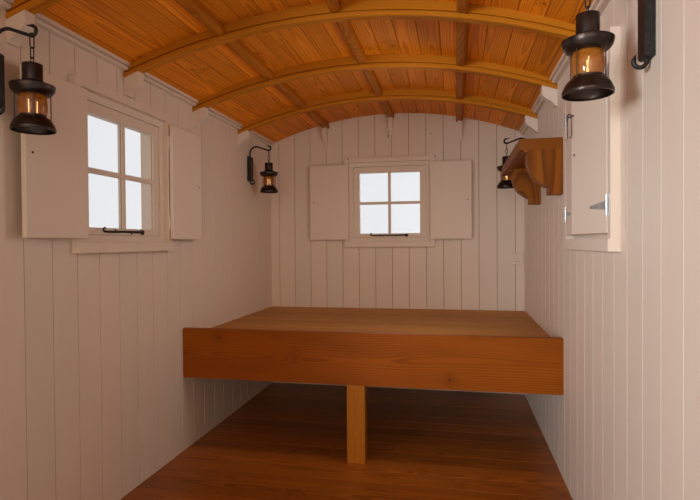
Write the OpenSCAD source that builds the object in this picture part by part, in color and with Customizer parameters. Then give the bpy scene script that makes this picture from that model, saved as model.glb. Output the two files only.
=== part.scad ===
// Sleeping end of a shepherd's hut: five bays of arched timber roof on lined walls,
// with three shuttered windows, a built-in bed base, a shelf and four wall lanterns.
// The hut runs along Y, its closed end is at +Y and the next bays would join at -Y.

/* [Plan] */
// Distance between bow centres
bay = 610; // [560:5:660]
// Number of bays built
bays = 5; // [4:1:6]
// Clear width between the side wall linings
room_w = 1900; // [1800:10:2000]

/* [Floor] */
// Depth of the floor joists
joist_h = 95; // [75:5:145]
// Width of a joist
joist_w = 45; // [38:1:60]
// Number of joists side by side
joist_n = 8; // [7:1:10]
// Thickness of the floor boards
floor_board_t = 20; // [15:1:28]

/* [Walls] */
// Thickness of the inside lining boards
lining_t = 16; // [12:1:20]
// Depth of the wall studs
stud_d = 63; // [45:1:95]
// Width of a stud
stud_w = 45; // [35:1:60]
// Thickness of the outside boards
cladding_t = 19; // [15:1:25]

/* [Roof] */
// Height of the ceiling's crown above the floor
crown_h = 2060; // [2030:5:2120]
// Radius of the ceiling's underside
ceiling_r = 2460; // [2250:10:2600]
// Thickness of the ceiling boards
ceiling_board_t = 12; // [9:1:18]
// Depth of the battens under the roof sheet
batten_d = 45; // [35:1:60]
// Width of a roof batten
batten_w = 48; // [38:1:60]
// Depth over the roof sheet's corrugations
sheet_d = 18; // [12:1:24]
// Thickness of the roof sheet
sheet_t = 2; // [1.5:0.5:3]
// Width of one corrugation
corrugation = 76; // [60:1:130]
// Overhang of the roof sheet past the side walls
eaves_out = 60; // [30:5:90]
// Overhang of the roof sheet past the end wall
verge_out = 45; // [30:5:90]
// Thickness of the curved verge board
verge_board_t = 20; // [15:1:28]
// Height of the curved verge board below the roof sheet
verge_board_h = 110; // [80:5:140]

/* [Bows and purlins] */
// Width of a bow's cap laminate
bow_w = 48; // [40:1:60]
// Thickness of a bow's cap laminate
bow_cap_t = 16; // [14:1:24]
// Height of the groove above the cap laminate
bow_groove_h = 8; // [5:1:12]
// Depth of the groove from the upper laminate's face
bow_groove_d = 9; // [5:1:12]
// Depth of a bow at the crown
bow_crown_d = 64; // [56:1:80]
// Radius of a bow's underside
bow_r = 2700; // [2600:10:2800]
// Radius on a bow's lower edges
bow_edge_r = 8; // [3:1:12]
// Step from the cap laminate back to the upper one
bow_step = 2; // [1:0.5:4]
// Width of a purlin
purlin_w = 46; // [40:1:56]
// Depth of a purlin
purlin_d = 41; // [30:1:46]
// Radius on a purlin's lower edges
purlin_edge_r = 14; // [6:1:18]
// Distance of the side purlins from the ridge
purlin_x = 503; // [460:1:540]

/* [Cornices and knees] */
// Projection of the cornice
cornice_out = 36; // [30:1:50]
// Height of the cornice's upper step
cornice_h = 14; // [10:1:40]
// Height of the cornice's lower moulding
cornice_bead_h = 16; // [12:1:28]
// Step back from the cornice's face to its lower moulding
cornice_step = 10; // [4:1:14]
// Projection of a bow knee
knee_out = 70; // [60:1:80]
// Height of a bow knee at the wall
knee_h = 76; // [66:1:88]
// Width of a bow knee
knee_w = 42; // [35:1:56]
// Projection of a purlin knee
purlin_knee_out = 60; // [45:1:75]
// Height of a purlin knee
purlin_knee_h = 125; // [90:1:150]
// Width of a purlin knee
purlin_knee_w = 30; // [24:1:44]

/* [Windows] */
// Width between the window jambs
window_w = 610; // [560:5:640]
// Distance of the window heads below the side walls' top
head_drop = 169; // [130:1:220]
// Height from the sill's top to the window head
window_h = 597; // [550:1:610]
// Width of the jamb boards
jamb_w = 32; // [24:1:40]
// Height of the head board
head_h = 33; // [26:1:40]
// Height of the sill board
sill_h = 40; // [30:1:46]
// Projection of the jambs and head from the lining
jamb_out = 28; // [24:1:36]
// Projection of the sill from the lining
sill_out = 36; // [30:1:60]
// Length of the sill past the opening at each end
sill_horn = 32; // [24:1:60]
// Lap of the jambs over the box frame's front
frame_lap = 6; // [3:1:10]
// Width of the box frame's face around the sash
box_w = 31; // [24:1:40]
// Depth of the outer stop behind the sash
stop_w = 12; // [8:1:16]
// Width of the sash stiles
stile_w = 45; // [40:1:56]
// Height of the sash's lower rail
rail_h = 30; // [26:1:50]
// Thickness of the sash
sash_t = 40; // [32:1:44]
// Distance of the sash behind the lining's face
sash_back = 8; // [6:1:14]
// Width of the glazing bars
bar_w = 20; // [14:1:26]
// Thickness of the glass
glass_t = 4; // [3:1:6]
// Depth of the glass in its slot
rebate = 6; // [4:1:10]
// Distance of the glass behind the sash's face
glass_back = 8; // [5:1:14]
// Thickness of the outside trim
trim_t = 15; // [12:1:22]
// Length of a window stay
stay_l = 278; // [200:1:300]
// Thickness of a window stay
stay_t = 9; // [7:0.5:11]
// Height of a window stay at its curl
stay_tip_h = 9; // [7:0.5:11]
// Height of a window stay at its pad
stay_root_h = 13; // [10:0.5:16]
// Radius of a window stay's curl
stay_curl_r = 9; // [7:0.5:12]
// Side of a stay's fixing pad
stay_pad = 22; // [16:1:28]
// Thickness of a stay's fixing pad
stay_pad_t = 3; // [2:0.5:5]
// Centre of the left window from the end wall
left_window_y = -1845; // [-1880:5:-1800]
// Centre of the right window from the end wall
right_window_y = -1880; // [-1920:5:-1860]
// Centre of the end window from the middle of the hut
end_window_x = -17; // [-40:1:40]

/* [Shutters] */
// Thickness of a shutter leaf
leaf_t = 18; // [15:1:18]
// Height of a shutter leaf
leaf_h = 564; // [530:1:580]
// Gap between a leaf and its jamb
leaf_gap = 5; // [5:0.5:6]
// Gap between two leaves where they meet
meeting_gap = 8; // [7:0.5:12]
// Height of a hinge centre above the leaf's foot
hinge_inset = 86; // [70:1:120]
// Height of a hinge's fixed plate
hinge_plate_h = 64; // [50:1:100]
// Width of a hinge's fixed plate
hinge_plate_w = 24; // [18:1:26]
// Thickness of the hinge plates
hinge_plate_t = 2; // [1.5:0.5:2]
// Length of a hinge's strap
strap_l = 130; // [100:1:160]
// Height of a strap at its knuckle
strap_root_h = 28; // [22:1:40]
// Height of a strap at its tip
strap_tip_h = 10; // [8:1:20]
// Radius of a hinge knuckle
knuckle_r = 3.2; // [2.8:0.1:3.3]
// Radius of a hinge pin
pin_r = 1.6; // [1.2:0.1:1.8]
// Angle at which the right window's near leaf stands open
near_leaf_ajar = 8; // [0:1:20]
// Angle at which the right window's far leaf stands open
far_leaf_ajar = 4; // [0:1:20]

/* [Bed base] */
// Distance from the end wall to the front of the bed rail
bed_depth = 1375; // [1300:5:1400]
// Height of the bed rail's top
bed_rail_top = 650; // [600:5:700]
// Height of the bed rail
bed_rail_h = 260; // [220:5:280]
// Thickness of the bed rail
bed_rail_t = 32; // [25:1:40]
// Width of the bed post
bed_post_w = 90; // [70:1:110]
// Depth of the bed post
bed_post_d = 70; // [45:1:90]
// Distance of the bed post's centre from the middle
bed_post_x = -20; // [-60:1:60]
// Thickness of the bed platform
platform_t = 18; // [12:1:22]
// Height of the platform's top above the floor
platform_top = 600; // [560:5:630]
// Depth of the bed joists
bed_joist_h = 90; // [70:1:110]

/* [Shelf] */
// Depth of the shelf
shelf_d = 190; // [180:1:240]
// Thickness of the shelf
shelf_t = 52; // [38:1:60]
// Distance of the shelf's underside below the side walls' top
shelf_drop = 351; // [320:1:400]
// Near end of the shelf from the end wall
shelf_near = 1375; // [1360:5:1380]
// Far end of the shelf from the end wall
shelf_far = 420; // [410:5:500]
// Height of a corbel
corbel_h = 207; // [180:1:240]
// Projection of a corbel's upper lip
corbel_out = 170; // [160:1:180]
// Thickness of a corbel
corbel_w = 75; // [60:1:90]
// Height of a corbel's upper lip
corbel_lip = 12; // [8:1:20]
// Radius of a corbel's belly
corbel_belly_r = 145; // [130:1:150]
// Distance of the belly's centre from the wall
corbel_belly_x = 12; // [6:1:18]
// Distance of the belly's centre below the shelf
corbel_belly_z = 38; // [30:1:46]
// Projection of a corbel's foot
corbel_toe = 62; // [50:1:72]
// Centre of the far corbel from the end wall
corbel_far = 700; // [650:5:800]

/* [Lanterns] */
// Height of a lantern from its foot to the top of its cap
lantern_h = 205; // [190:1:220]
// Radius of a lantern's domed base and of its brim
lantern_r = 63; // [55:1:64]
// Height of a lantern's domed base
dome_h = 43; // [36:1:48]
// Radius of the dome's top
dome_neck_r = 40; // [38:1:46]
// Radius of a lantern's glass
lantern_glass_r = 34; // [30:1:36]
// Height of the rim round a lantern's glass
gallery_h = 6; // [4:1:10]
// Radius of the wire guard round the glass
guard_r = 48; // [44:1:52]
// Radius of a lantern's wires
guard_wire = 1.6; // [1.2:0.1:2]
// Radius of the brim's lower edge
brim_r = 46; // [40:1:50]
// Height of the brim's bowl
brim_h = 27; // [20:1:34]
// Height of the lip round the brim
lip_h = 3; // [2:0.5:5]
// Height of the shoulder between the brim and the cap
shoulder_h = 14; // [10:1:20]
// Height of a lantern's cap
cap_h = 52; // [44:1:60]
// Radius of a lantern's cap
cap_r = 28.5; // [24:0.5:32]
// Depth of the glass in the brim
glass_seat = 4; // [2:1:6]
// Wall of a lantern's sheet metal
lantern_wall = 2; // [1.5:0.5:3]
// Distance of a lantern from the wall
lantern_out = 150; // [140:1:160]
// Wire radius of a chain link
link_wire = 1.8; // [1.4:0.1:2.2]
// Width of the ring and the short link
link_w = 15; // [13:1:18]
// Length of the ring on a lantern's cap
ring_l = 24; // [20:1:30]
// Length of the short link
short_link_l = 38; // [30:1:46]
// Length of the long link, which hangs on the hook
long_link_l = 50; // [40:1:60]
// Height of a bracket's plate
plate_h = 171; // [150:1:190]
// Width of a bracket's plate
plate_w = 50; // [40:1:56]
// Thickness of a bracket's plate
plate_t = 25; // [20:1:30]
// Bevel on a bracket plate's ends
plate_bevel = 6; // [3:1:10]
// Radius of the bracket's rod
rod_r = 5.5; // [4.5:0.5:6.5]
// Radius of the rod's arch over the plate
arch_r = 46; // [40:1:52]
// Angle at which the rod falls from the arch to the hook
rod_fall = 20; // [10:1:30]
// Radius of the hook
hook_r = 15; // [12:1:18]
// Height of the hook's lowest centre above the plate's top
hook_rise = 38; // [30:1:46]
// Angle to which the hook turns up
hook_turn = 80; // [60:5:90]
// Length of the hook's tapered tip
hook_tip = 22; // [16:1:28]
// Radius of the curl under the plate
curl_r = 15; // [12:1:18]
// Angle through which the rod curls under the plate
curl_turn = 200; // [180:5:230]
// Length of the curl's tapered tip
curl_tip = 12; // [8:1:18]

/* [Hidden] */
$fn = 48;
fit = 0.3;
hook_fit = 0.5;
rod_ease = 0.2;
rod_lap = 1;
more = 400;

half_w = room_w / 2;
floor_top = joist_h + floor_board_t;
wall_t = lining_t + stud_d + cladding_t;
lining_out = half_w + lining_t;
stud_out = lining_out + stud_d;
clad_out = stud_out + cladding_t;
open_y = -bays * bay - bow_w / 2;
end_lining_y = lining_t;
end_stud_y = lining_t + stud_d;
end_y = wall_t;
verge_y = end_y + verge_out;
y_mid = -(open_y + verge_y) / 2;

roof_z = crown_h - ceiling_r;
board_out_r = ceiling_r + ceiling_board_t;
batten_out_r = board_out_r + batten_d;
sheet_in_r = batten_out_r + fit;
sheet_out_r = sheet_in_r + sheet_d;
eaves_x = clad_out + eaves_out;
batten_xs = [for (i = [-2:2]) i * (stud_out - batten_w) / 2];

bow_z = crown_h - bow_crown_d - bow_r;
cap_out_r = bow_r + bow_cap_t;
web_w = bow_w - 2 * bow_step;
function bow_under(x) = bow_z + sqrt(bow_r * bow_r - x * x);
function ceiling_at(x) = roof_z + sqrt(ceiling_r * ceiling_r - x * x);
purlin_xs = [-purlin_x, 0, purlin_x];
purlin_ends = [for (i = [0:bays - 1]) [i == 0 ? 0 : -i * bay - web_w / 2, -(i + 1) * bay + web_w / 2]];
knee_top = bow_under(half_w);
cornice_top = ceiling_at(half_w - cornice_out);

wall_top = ceiling_at(half_w);
head_z = wall_top - head_drop;
sill_z = head_z - window_h;
leaf_w = (window_w - meeting_gap) / 2 - leaf_gap;
leaf_z = sill_z + (window_h - leaf_h) / 2;
pin_u = window_w / 2 - leaf_gap / 2;
pin_out = jamb_out + hinge_plate_t + 0.5;
hinge_zs = [leaf_z + hinge_inset, leaf_z + leaf_h - hinge_inset];
sash_w = window_w - 2 * box_w - 2;
sash_h = window_h - 2 * box_w - 2;
sash_z = sill_z + box_w + 1;
glass_w = sash_w - 2 * stile_w;
glass_h = sash_h - stile_w - rail_h;
glass_z = sash_z + rail_h;
glass_y = sash_back + glass_back;

rail_back = -bed_depth + bed_rail_t;
bed_joist_xs = [for (i = [0:3]) -half_w + i * (room_w - joist_w) / 3];

shelf_z = wall_top - shelf_drop;

dome_step = lantern_r - dome_neck_r;
dome_arc_r = (dome_step * dome_step + dome_h * dome_h) / (2 * dome_step);
dome_centre = lantern_r - dome_arc_r;
cap_z = lantern_h - cap_h;
lip_z = cap_z - shoulder_h - lip_h;
brim_z = lip_z - brim_h;
brim_step = lantern_r - brim_r;
brim_arc_r = (brim_step * brim_step + brim_h * brim_h) / (2 * brim_step);
glass_top = brim_z + glass_seat;

function link_step(l) = l - 4 * link_wire - fit;
ring_z = lantern_h - link_wire;
short_link_z = ring_z + link_step(ring_l);
long_link_z = short_link_z + link_step(short_link_l);
long_link_w = 2 * (rod_r + hook_fit + 2 * link_wire);
hook_z = long_link_z + long_link_l - long_link_w / 2;
plate_top = hook_z - hook_rise;
plate_foot = plate_top - plate_h;
rod_x = plate_t / 2;

// Places of the lanterns: along the wall, and from the wall's top down to a lantern's foot
left_lanterns = [[-2520, 424], [-450, 419]];
right_lanterns = [[-2470, 401], [-330, 419]];

pine = "peru";
paint = "oldlace";
iron = "dimgray";
steel = "silver";

// Moves the hut's own frame, with the floor's top and the end wall's inner face at
// zero, to the middle of its footprint and the underside of its joists
module hut() {
    translate([0, y_mid, floor_top]) children();
}

// Extrudes a drawing of the cross-section from y0 to y1
module along(y0, y1) {
    translate([0, max(y0, y1), 0])
        rotate([90, 0, 0])
            linear_extrude(abs(y1 - y0)) children();
}

// Extrudes a drawing of the side view, with y to the right, across the width from x0 to x1
module across(x0, x1) {
    translate([x0, 0, 0])
        rotate([90, 0, 90])
            linear_extrude(x1 - x0) children();
}

// Places a wall fitting that is drawn on the end wall, with the room at minus y
module on_left(y) {
    translate([-half_w, y, 0]) rotate([0, 0, 90]) children();
}

module on_right(y) {
    translate([half_w, y, 0]) rotate([0, 0, -90]) children();
}

module on_end() {
    translate([end_window_x, 0, 0]) children();
}

module both_sides() {
    children();
    mirror([1, 0, 0]) children();
}

// Everything under one curve of the roof
module under_curve(r) {
    translate([0, roof_z]) circle(r, $fn = 360);
}

// One layer of the roof, as wide as half_span to each side
module roof_layer(r0, r1, half_span) {
    intersection() {
        difference() {
            under_curve(r1);
            under_curve(r0);
        }
        translate([-half_span, 0]) square([2 * half_span, crown_h + more]);
    }
}

// A side wall layer from one height up to one curve of the roof
module wall_layer(x0, x1, foot, r) {
    intersection() {
        translate([x0, foot]) square([x1 - x0, crown_h + more]);
        under_curve(r);
    }
}

// An end wall layer from one height up to one curve of the roof
module gable_layer(half_span, foot, r) {
    wall_layer(-half_span, half_span, foot, r);
}

// The hole for a window, cut right through a wall that is drawn as the end wall
module window_hole() {
    translate([-window_w / 2 - frame_lap, -more / 2, sill_z - frame_lap])
        cube([window_w + 2 * frame_lap, more, window_h + 2 * frame_lap]);
}

module floor_frame() {
    color(pine) hut() translate([0, 0, -floor_top]) {
        for (i = [0:joist_n - 1])
            translate([-stud_out + i * (2 * stud_out - joist_w) / (joist_n - 1), open_y, 0])
                cube([joist_w, end_stud_y - open_y, joist_h]);
        for (y = [open_y, end_stud_y - joist_w])
            translate([-stud_out, y, 0])
                cube([2 * stud_out, joist_w, joist_h]);
    }
}

module floor_boards() {
    color("sienna") hut()
        translate([-stud_out, open_y, -floor_board_t])
            cube([2 * stud_out, end_stud_y - open_y, floor_board_t]);
}

module side_lining() {
    along(open_y, 0) wall_layer(half_w, lining_out, 0, ceiling_r);
}

module left_lining() {
    color(paint) hut() difference() {
        mirror([1, 0, 0]) side_lining();
        on_left(left_window_y) window_hole();
    }
}

module right_lining() {
    color(paint) hut() difference() {
        side_lining();
        on_right(right_window_y) window_hole();
    }
}

module end_lining() {
    color(paint) hut() difference() {
        along(0, end_lining_y) gable_layer(lining_out, 0, ceiling_r);
        on_end() window_hole();
    }
}

// Two trimmers, a head rail and a sill rail round a window, behind the lining of the end wall
module window_trimmers() {
    for (side = [-1, 1])
        translate([side * (window_w / 2 + frame_lap + stud_w / 2) - stud_w / 2, lining_t, 0])
            cube([stud_w, stud_d, head_z + stud_w]);
    for (z = [sill_z - stud_w - frame_lap, head_z + frame_lap])
        translate([-window_w / 2, lining_t, z]) cube([window_w, stud_d, stud_w]);
}

// The studs and plates of one side wall, drawn on the right
module side_studs() {
    plate_z = ceiling_at(stud_out) - stud_w;
    along(open_y + stud_w, end_stud_y) {
        translate([lining_out, 0]) square([stud_d, stud_w]);
        wall_layer(lining_out, stud_out, plate_z, ceiling_r);
    }
    for (i = [1:bays - 1])
        along(-i * bay - stud_w / 2, -i * bay + stud_w / 2) wall_layer(lining_out, stud_out, 0, ceiling_r);
    along(end_stud_y - stud_w, end_stud_y) wall_layer(lining_out, stud_out, 0, ceiling_r);
}

// The studs and plates of the end wall
module end_studs() {
    for (x = [-lining_out, -stud_w / 2, lining_out - stud_w])
        along(end_lining_y, end_stud_y) wall_layer(x, x + stud_w, 0, ceiling_r);
    along(end_lining_y, end_stud_y) {
        translate([-lining_out, 0]) square([2 * lining_out, stud_w]);
        roof_layer(ceiling_r - stud_w, ceiling_r, lining_out);
    }
}

module wall_studs() {
    color(pine) hut() {
        difference() {
            union() {
                side_studs();
                on_right(right_window_y) window_trimmers();
            }
            on_right(right_window_y) window_hole();
        }
        difference() {
            union() {
                mirror([1, 0, 0]) side_studs();
                on_left(left_window_y) window_trimmers();
            }
            on_left(left_window_y) window_hole();
        }
        difference() {
            union() {
                end_studs();
                on_end() window_trimmers();
            }
            on_end() window_hole();
        }
    }
}

module wall_end_posts() {
    color(pine) hut() both_sides()
        along(open_y, open_y + stud_w) wall_layer(lining_out, stud_out, 0, ceiling_r);
}

module side_cladding() {
    along(open_y, end_stud_y) wall_layer(stud_out, clad_out, -floor_top, batten_out_r);
}

module left_cladding() {
    color(paint) hut() difference() {
        mirror([1, 0, 0]) side_cladding();
        on_left(left_window_y) window_hole();
    }
}

module right_cladding() {
    color(paint) hut() difference() {
        side_cladding();
        on_right(right_window_y) window_hole();
    }
}

module end_cladding() {
    color(paint) hut() difference() {
        along(end_stud_y, end_y) gable_layer(clad_out, -floor_top, batten_out_r);
        on_end() window_hole();
    }
}

module ceiling_boards() {
    color("orange") hut()
        along(open_y, end_stud_y) roof_layer(ceiling_r, board_out_r, stud_out);
}

// Battens along the hut between a curved rib at each end
module roof_battens() {
    color(pine) hut() {
        for (y = [open_y, end_stud_y - batten_w])
            along(y, y + batten_w) roof_layer(board_out_r, batten_out_r, stud_out);
        along(open_y, end_stud_y) intersection() {
            roof_layer(board_out_r, batten_out_r, stud_out);
            for (x = batten_xs)
                translate([0, roof_z])
                    rotate(-asin(x / board_out_r))
                        translate([-batten_w / 2, 0]) square([batten_w, sheet_out_r]);
        }
    }
}

// The corrugated sheet as radius and distance from its open end
module sheet_section() {
    length = verge_y - open_y;
    n = round(length / corrugation);
    pitch = length / n;
    wave = [[0, 0], [0.25, 0], [0.5, 1], [0.75, 1]];
    run = concat([for (i = [0:n - 1], w = wave) [(i + w[0]) * pitch, w[1]]], [[length, 0]]);
    rise = sheet_d - sheet_t;
    polygon(concat(
        [for (w = run) [sheet_in_r + rise * w[1], w[0]]],
        [for (i = [len(run) - 1:-1:0]) [sheet_in_r + sheet_t + rise * run[i][1], run[i][0]]]
    ));
}

// Corrugated steel bent over the roof, its corrugations running from eaves to eaves
module roof_sheet() {
    sweep = 2 * asin(eaves_x / sheet_out_r);
    color(steel) hut() translate([0, open_y, roof_z])
        rotate([-90, 0, 0])
            rotate([0, 0, -90 - sweep / 2])
                rotate_extrude(angle = sweep, $fn = 180) sheet_section();
}

module verge_board() {
    color(paint) hut()
        along(end_y, end_y + verge_board_t)
            roof_layer(batten_out_r - verge_board_h, batten_out_r, clad_out);
}

// The section of a bow's cap, as radius and half width, with its lower edges rounded
module cap_section() {
    steps = 4;
    corner = [for (i = [0:steps]) let (a = 90 * i / steps)
        [bow_r + bow_edge_r * (1 - cos(a)), bow_w / 2 - bow_edge_r * (1 - sin(a))]];
    polygon(concat(
        corner,
        [[cap_out_r, bow_w / 2], [cap_out_r, -bow_w / 2]],
        [for (i = [steps:-1:0]) [corner[i][0], -corner[i][1]]]
    ));
}

// A bow's upper laminate of the given width, from a radius up to the ceiling
module bow_layer(w, r) {
    along(-w / 2, w / 2) difference() {
        intersection() {
            under_curve(ceiling_r);
            translate([-half_w, 0]) square([room_w, crown_h]);
        }
        translate([0, bow_z]) circle(r, $fn = 360);
    }
}

// One laminated roof bow: a curved cap, a groove, and a web that fills up to the ceiling
module bow(i) {
    sweep = 2 * asin(half_w / bow_r) + 4;
    color(pine) hut() translate([0, -i * bay, 0]) {
        intersection() {
            translate([0, 0, bow_z])
                rotate([-90, 0, 0])
                    rotate([0, 0, -90 - sweep / 2])
                        rotate_extrude(angle = sweep, $fn = 180) cap_section();
            translate([-half_w, -bow_w, 0]) cube([room_w, 2 * bow_w, crown_h]);
        }
        bow_layer(web_w, cap_out_r + bow_groove_h);
        bow_layer(web_w - 2 * bow_groove_d, cap_out_r - bow_cap_t / 2);
    }
}

module bow_1() { bow(1); }
module bow_2() { bow(2); }
module bow_3() { bow(3); }
module bow_4() { bow(4); }
module bow_5() { bow(5); }

// A bar with its two lower edges rounded, standing on the x axis
module soft_bar(w, h, r) {
    translate([-w / 2, r]) square([w, h - r]);
    translate([-w / 2 + r, 0]) square([w - 2 * r, r]);
    for (side = [-1, 1])
        translate([side * (w / 2 - r), r]) circle(r);
}

module purlin_section(x) {
    intersection() {
        translate([0, roof_z])
            rotate(-asin(x / ceiling_r))
                translate([0, ceiling_r - purlin_d])
                    soft_bar(purlin_w, purlin_d + 10, purlin_edge_r);
        under_curve(ceiling_r);
    }
}

module purlins() {
    color(pine) hut()
        for (x = purlin_xs, ends = purlin_ends)
            along(ends[0], ends[1]) purlin_section(x);
}

// The cornice's two steps under the ceiling, drawn on the right
module cornice_section() {
    foot = cornice_top - cornice_h;
    inset = half_w - cornice_out;
    nose = inset + cornice_step + cornice_bead_h / 2;
    intersection() {
        union() {
            translate([inset, foot]) square([cornice_out, more]);
            translate([nose, foot - cornice_bead_h]) square([half_w - nose, cornice_bead_h + 1]);
            translate([nose, foot - cornice_bead_h / 2]) circle(cornice_bead_h / 2);
        }
        under_curve(ceiling_r);
    }
}

module side_cornice() {
    stop = bow_w / 2;
    for (i = [0:bays - 1])
        along(i == 0 ? 0 : -i * bay - stop, -(i + 1) * bay + stop) cornice_section();
}

module right_cornice() {
    color(paint) hut() side_cornice();
}

module left_cornice() {
    color(paint) hut() mirror([1, 0, 0]) side_cornice();
}

// A knee seen from the side: flat back and top, and a front that curves in to a small foot
module knee_profile(out, h, above) {
    foot = out / 6;
    nose = h / 5;
    steps = 14;
    polygon(concat(
        [[0, above], [out, above]],
        [for (i = [0:steps])
            let (t = i / steps)
            [foot + (out - foot) * (1 + cos(180 * t)) / 2, -nose - (h - nose) * t]],
        [[0, -h]]
    ));
}

module bow_knees() {
    color(paint) hut() both_sides()
        for (i = [1:bays])
            along(-i * bay - knee_w / 2, -i * bay + knee_w / 2) intersection() {
                translate([half_w, knee_top]) mirror([1, 0]) knee_profile(knee_out, knee_h, 40);
                translate([0, bow_z]) circle(bow_r, $fn = 180);
            }
}

module purlin_knees() {
    color(paint) hut()
        for (x = purlin_xs)
            intersection() {
                across(x - purlin_knee_w / 2, x + purlin_knee_w / 2)
                    mirror([1, 0])
                        translate([0, ceiling_at(x) - purlin_d])
                            knee_profile(purlin_knee_out, purlin_knee_h, 20);
                along(-more, 0) under_curve(ceiling_r - purlin_d);
            }
}

// A rectangular ring on the end wall, from y0 to y1, with the given opening
module wall_ring(outer, opening, y0, y1) {
    translate([0, y1, 0])
        rotate([90, 0, 0])
            linear_extrude(y1 - y0) difference() {
                translate([-outer[0] / 2, outer[1]]) square([outer[0], outer[2]]);
                translate([-opening[0] / 2, opening[1]]) square([opening[0], opening[2]]);
            }
}

// Box frame with its stop, inside jambs, head and sill, and the same trim outside
module window_frame() {
    hole = [window_w + 2 * frame_lap, sill_z - frame_lap, window_h + 2 * frame_lap];
    opening = [window_w, sill_z - 1, window_h + 1];
    light = [window_w - 2 * box_w, sill_z + box_w, window_h - 2 * box_w];
    stop = [light[0] - 2 * stop_w, light[1] + stop_w, light[2] - 2 * stop_w];
    stop_y = sash_back + sash_t;
    trim = [window_w + 2 * jamb_w, sill_z, window_h + head_h];
    wall_ring(hole, light, 0, stop_y);
    wall_ring(hole, stop, stop_y, wall_t);
    wall_ring(trim, opening, -jamb_out, 0);
    wall_ring(trim, opening, wall_t, wall_t + trim_t);
    translate([-window_w / 2 - sill_horn, -sill_out, sill_z - sill_h])
        cube([window_w + 2 * sill_horn, sill_out, sill_h]);
    translate([-window_w / 2 - sill_horn, wall_t, sill_z - sill_h])
        cube([window_w + 2 * sill_horn, 2 * trim_t, sill_h]);
}

module left_window_frame() { color(paint) hut() on_left(left_window_y) window_frame(); }
module right_window_frame() { color(paint) hut() on_right(right_window_y) window_frame(); }
module end_window_frame() { color(paint) hut() on_end() window_frame(); }

// Sash with one upright and one level glazing bar, slotted for the glass
module casement() {
    difference() {
        union() {
            wall_ring([sash_w, sash_z, sash_h], [glass_w, glass_z, glass_h], sash_back, sash_back + sash_t);
            translate([-bar_w / 2, sash_back, glass_z]) cube([bar_w, sash_t * 0.6, glass_h]);
            translate([-glass_w / 2, sash_back, glass_z + (glass_h - bar_w) / 2])
                cube([glass_w, sash_t * 0.6, bar_w]);
        }
        glass();
    }
}

module glass() {
    translate([-glass_w / 2 - rebate, glass_y, glass_z - rebate])
        cube([glass_w + 2 * rebate, glass_t, glass_h + 2 * rebate]);
}

module left_casement() { color(paint) hut() on_left(left_window_y) casement(); }
module right_casement() { color(paint) hut() on_right(right_window_y) casement(); }
module end_casement() { color(paint) hut() on_end() casement(); }

module window_glass() {
    color("lightblue") hut() {
        on_end() glass();
        on_left(left_window_y) glass();
        on_right(right_window_y) glass();
    }
}

// Iron stay along the sash's lower rail: a tapered bar between a fixing pad and a curl
module window_stay() {
    translate([0, sash_back, sash_z + rail_h / 2]) {
        rotate([90, 0, 0]) linear_extrude(stay_t) polygon([
            [-stay_l / 2, -stay_tip_h / 2], [stay_l / 2, -stay_root_h / 2],
            [stay_l / 2, stay_root_h / 2], [-stay_l / 2, stay_tip_h / 2]
        ]);
        translate([-stay_l / 2, -stay_t / 2, stay_curl_r])
            rotate([90, 0, 0]) rotate([0, 0, 90])
                rotate_extrude(angle = 180)
                    translate([stay_curl_r, 0]) circle(stay_tip_h / 2 - fit);
        translate([stay_l / 2 - stay_pad, -stay_pad_t, -stay_pad / 2])
            cube([stay_pad, stay_pad_t, stay_pad]);
    }
}

module window_stays() {
    color(iron) hut() {
        on_end() window_stay();
        on_left(left_window_y) window_stay();
        on_right(right_window_y) window_stay();
    }
}

// The fixed half of a shutter hinge at the right jamb: a plate, two knuckles and the pin
module hinge_plate() {
    translate([pin_u, -pin_out, -hinge_plate_h / 2]) {
        cylinder(r = pin_r, h = hinge_plate_h);
        difference() {
            union() {
                cylinder(r = knuckle_r, h = hinge_plate_h);
                translate([0, pin_out - jamb_out - hinge_plate_t, 0])
                    cube([leaf_gap / 2 + hinge_plate_w, hinge_plate_t, hinge_plate_h]);
            }
            translate([-hinge_plate_w, -hinge_plate_w, (hinge_plate_h - strap_root_h) / 2 - 1])
                cube([hinge_plate_w + knuckle_r + 1, 2 * hinge_plate_w, strap_root_h + 2]);
        }
    }
}

module window_hinges() {
    for (z = hinge_zs)
        translate([0, 0, z]) {
            hinge_plate();
            mirror([1, 0, 0]) hinge_plate();
        }
}

module shutter_hinges() {
    color(steel) hut() {
        on_end() window_hinges();
        on_left(left_window_y) window_hinges();
        on_right(right_window_y) window_hinges();
    }
}

// The moving half of a hinge: a tapered strap on the leaf's face and one knuckle
module strap() {
    translate([pin_u, -pin_out, 0]) difference() {
        union() {
            translate([0, 0, -strap_root_h / 2]) cylinder(r = knuckle_r, h = strap_root_h);
            translate([0, pin_out - jamb_out, 0]) rotate([90, 0, 0])
                linear_extrude(hinge_plate_t) polygon([
                    [0, -strap_root_h / 2], [0, strap_root_h / 2],
                    [-strap_l, strap_tip_h / 2], [-strap_l, -strap_tip_h / 2]
                ]);
        }
        cylinder(r = pin_r + 0.1, h = strap_root_h + 2, center = true);
    }
}

// A shutter leaf hung on the right jamb and swung open by an angle
module right_leaf(open) {
    translate([pin_u, -pin_out, 0]) rotate([0, 0, open]) translate([-pin_u, pin_out, 0]) {
        translate([meeting_gap / 2, -jamb_out, leaf_z]) cube([leaf_w, leaf_t, leaf_h]);
        for (z = hinge_zs) translate([0, 0, z]) strap();
    }
}

module left_leaf(open) {
    mirror([1, 0, 0]) right_leaf(open);
}

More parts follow.
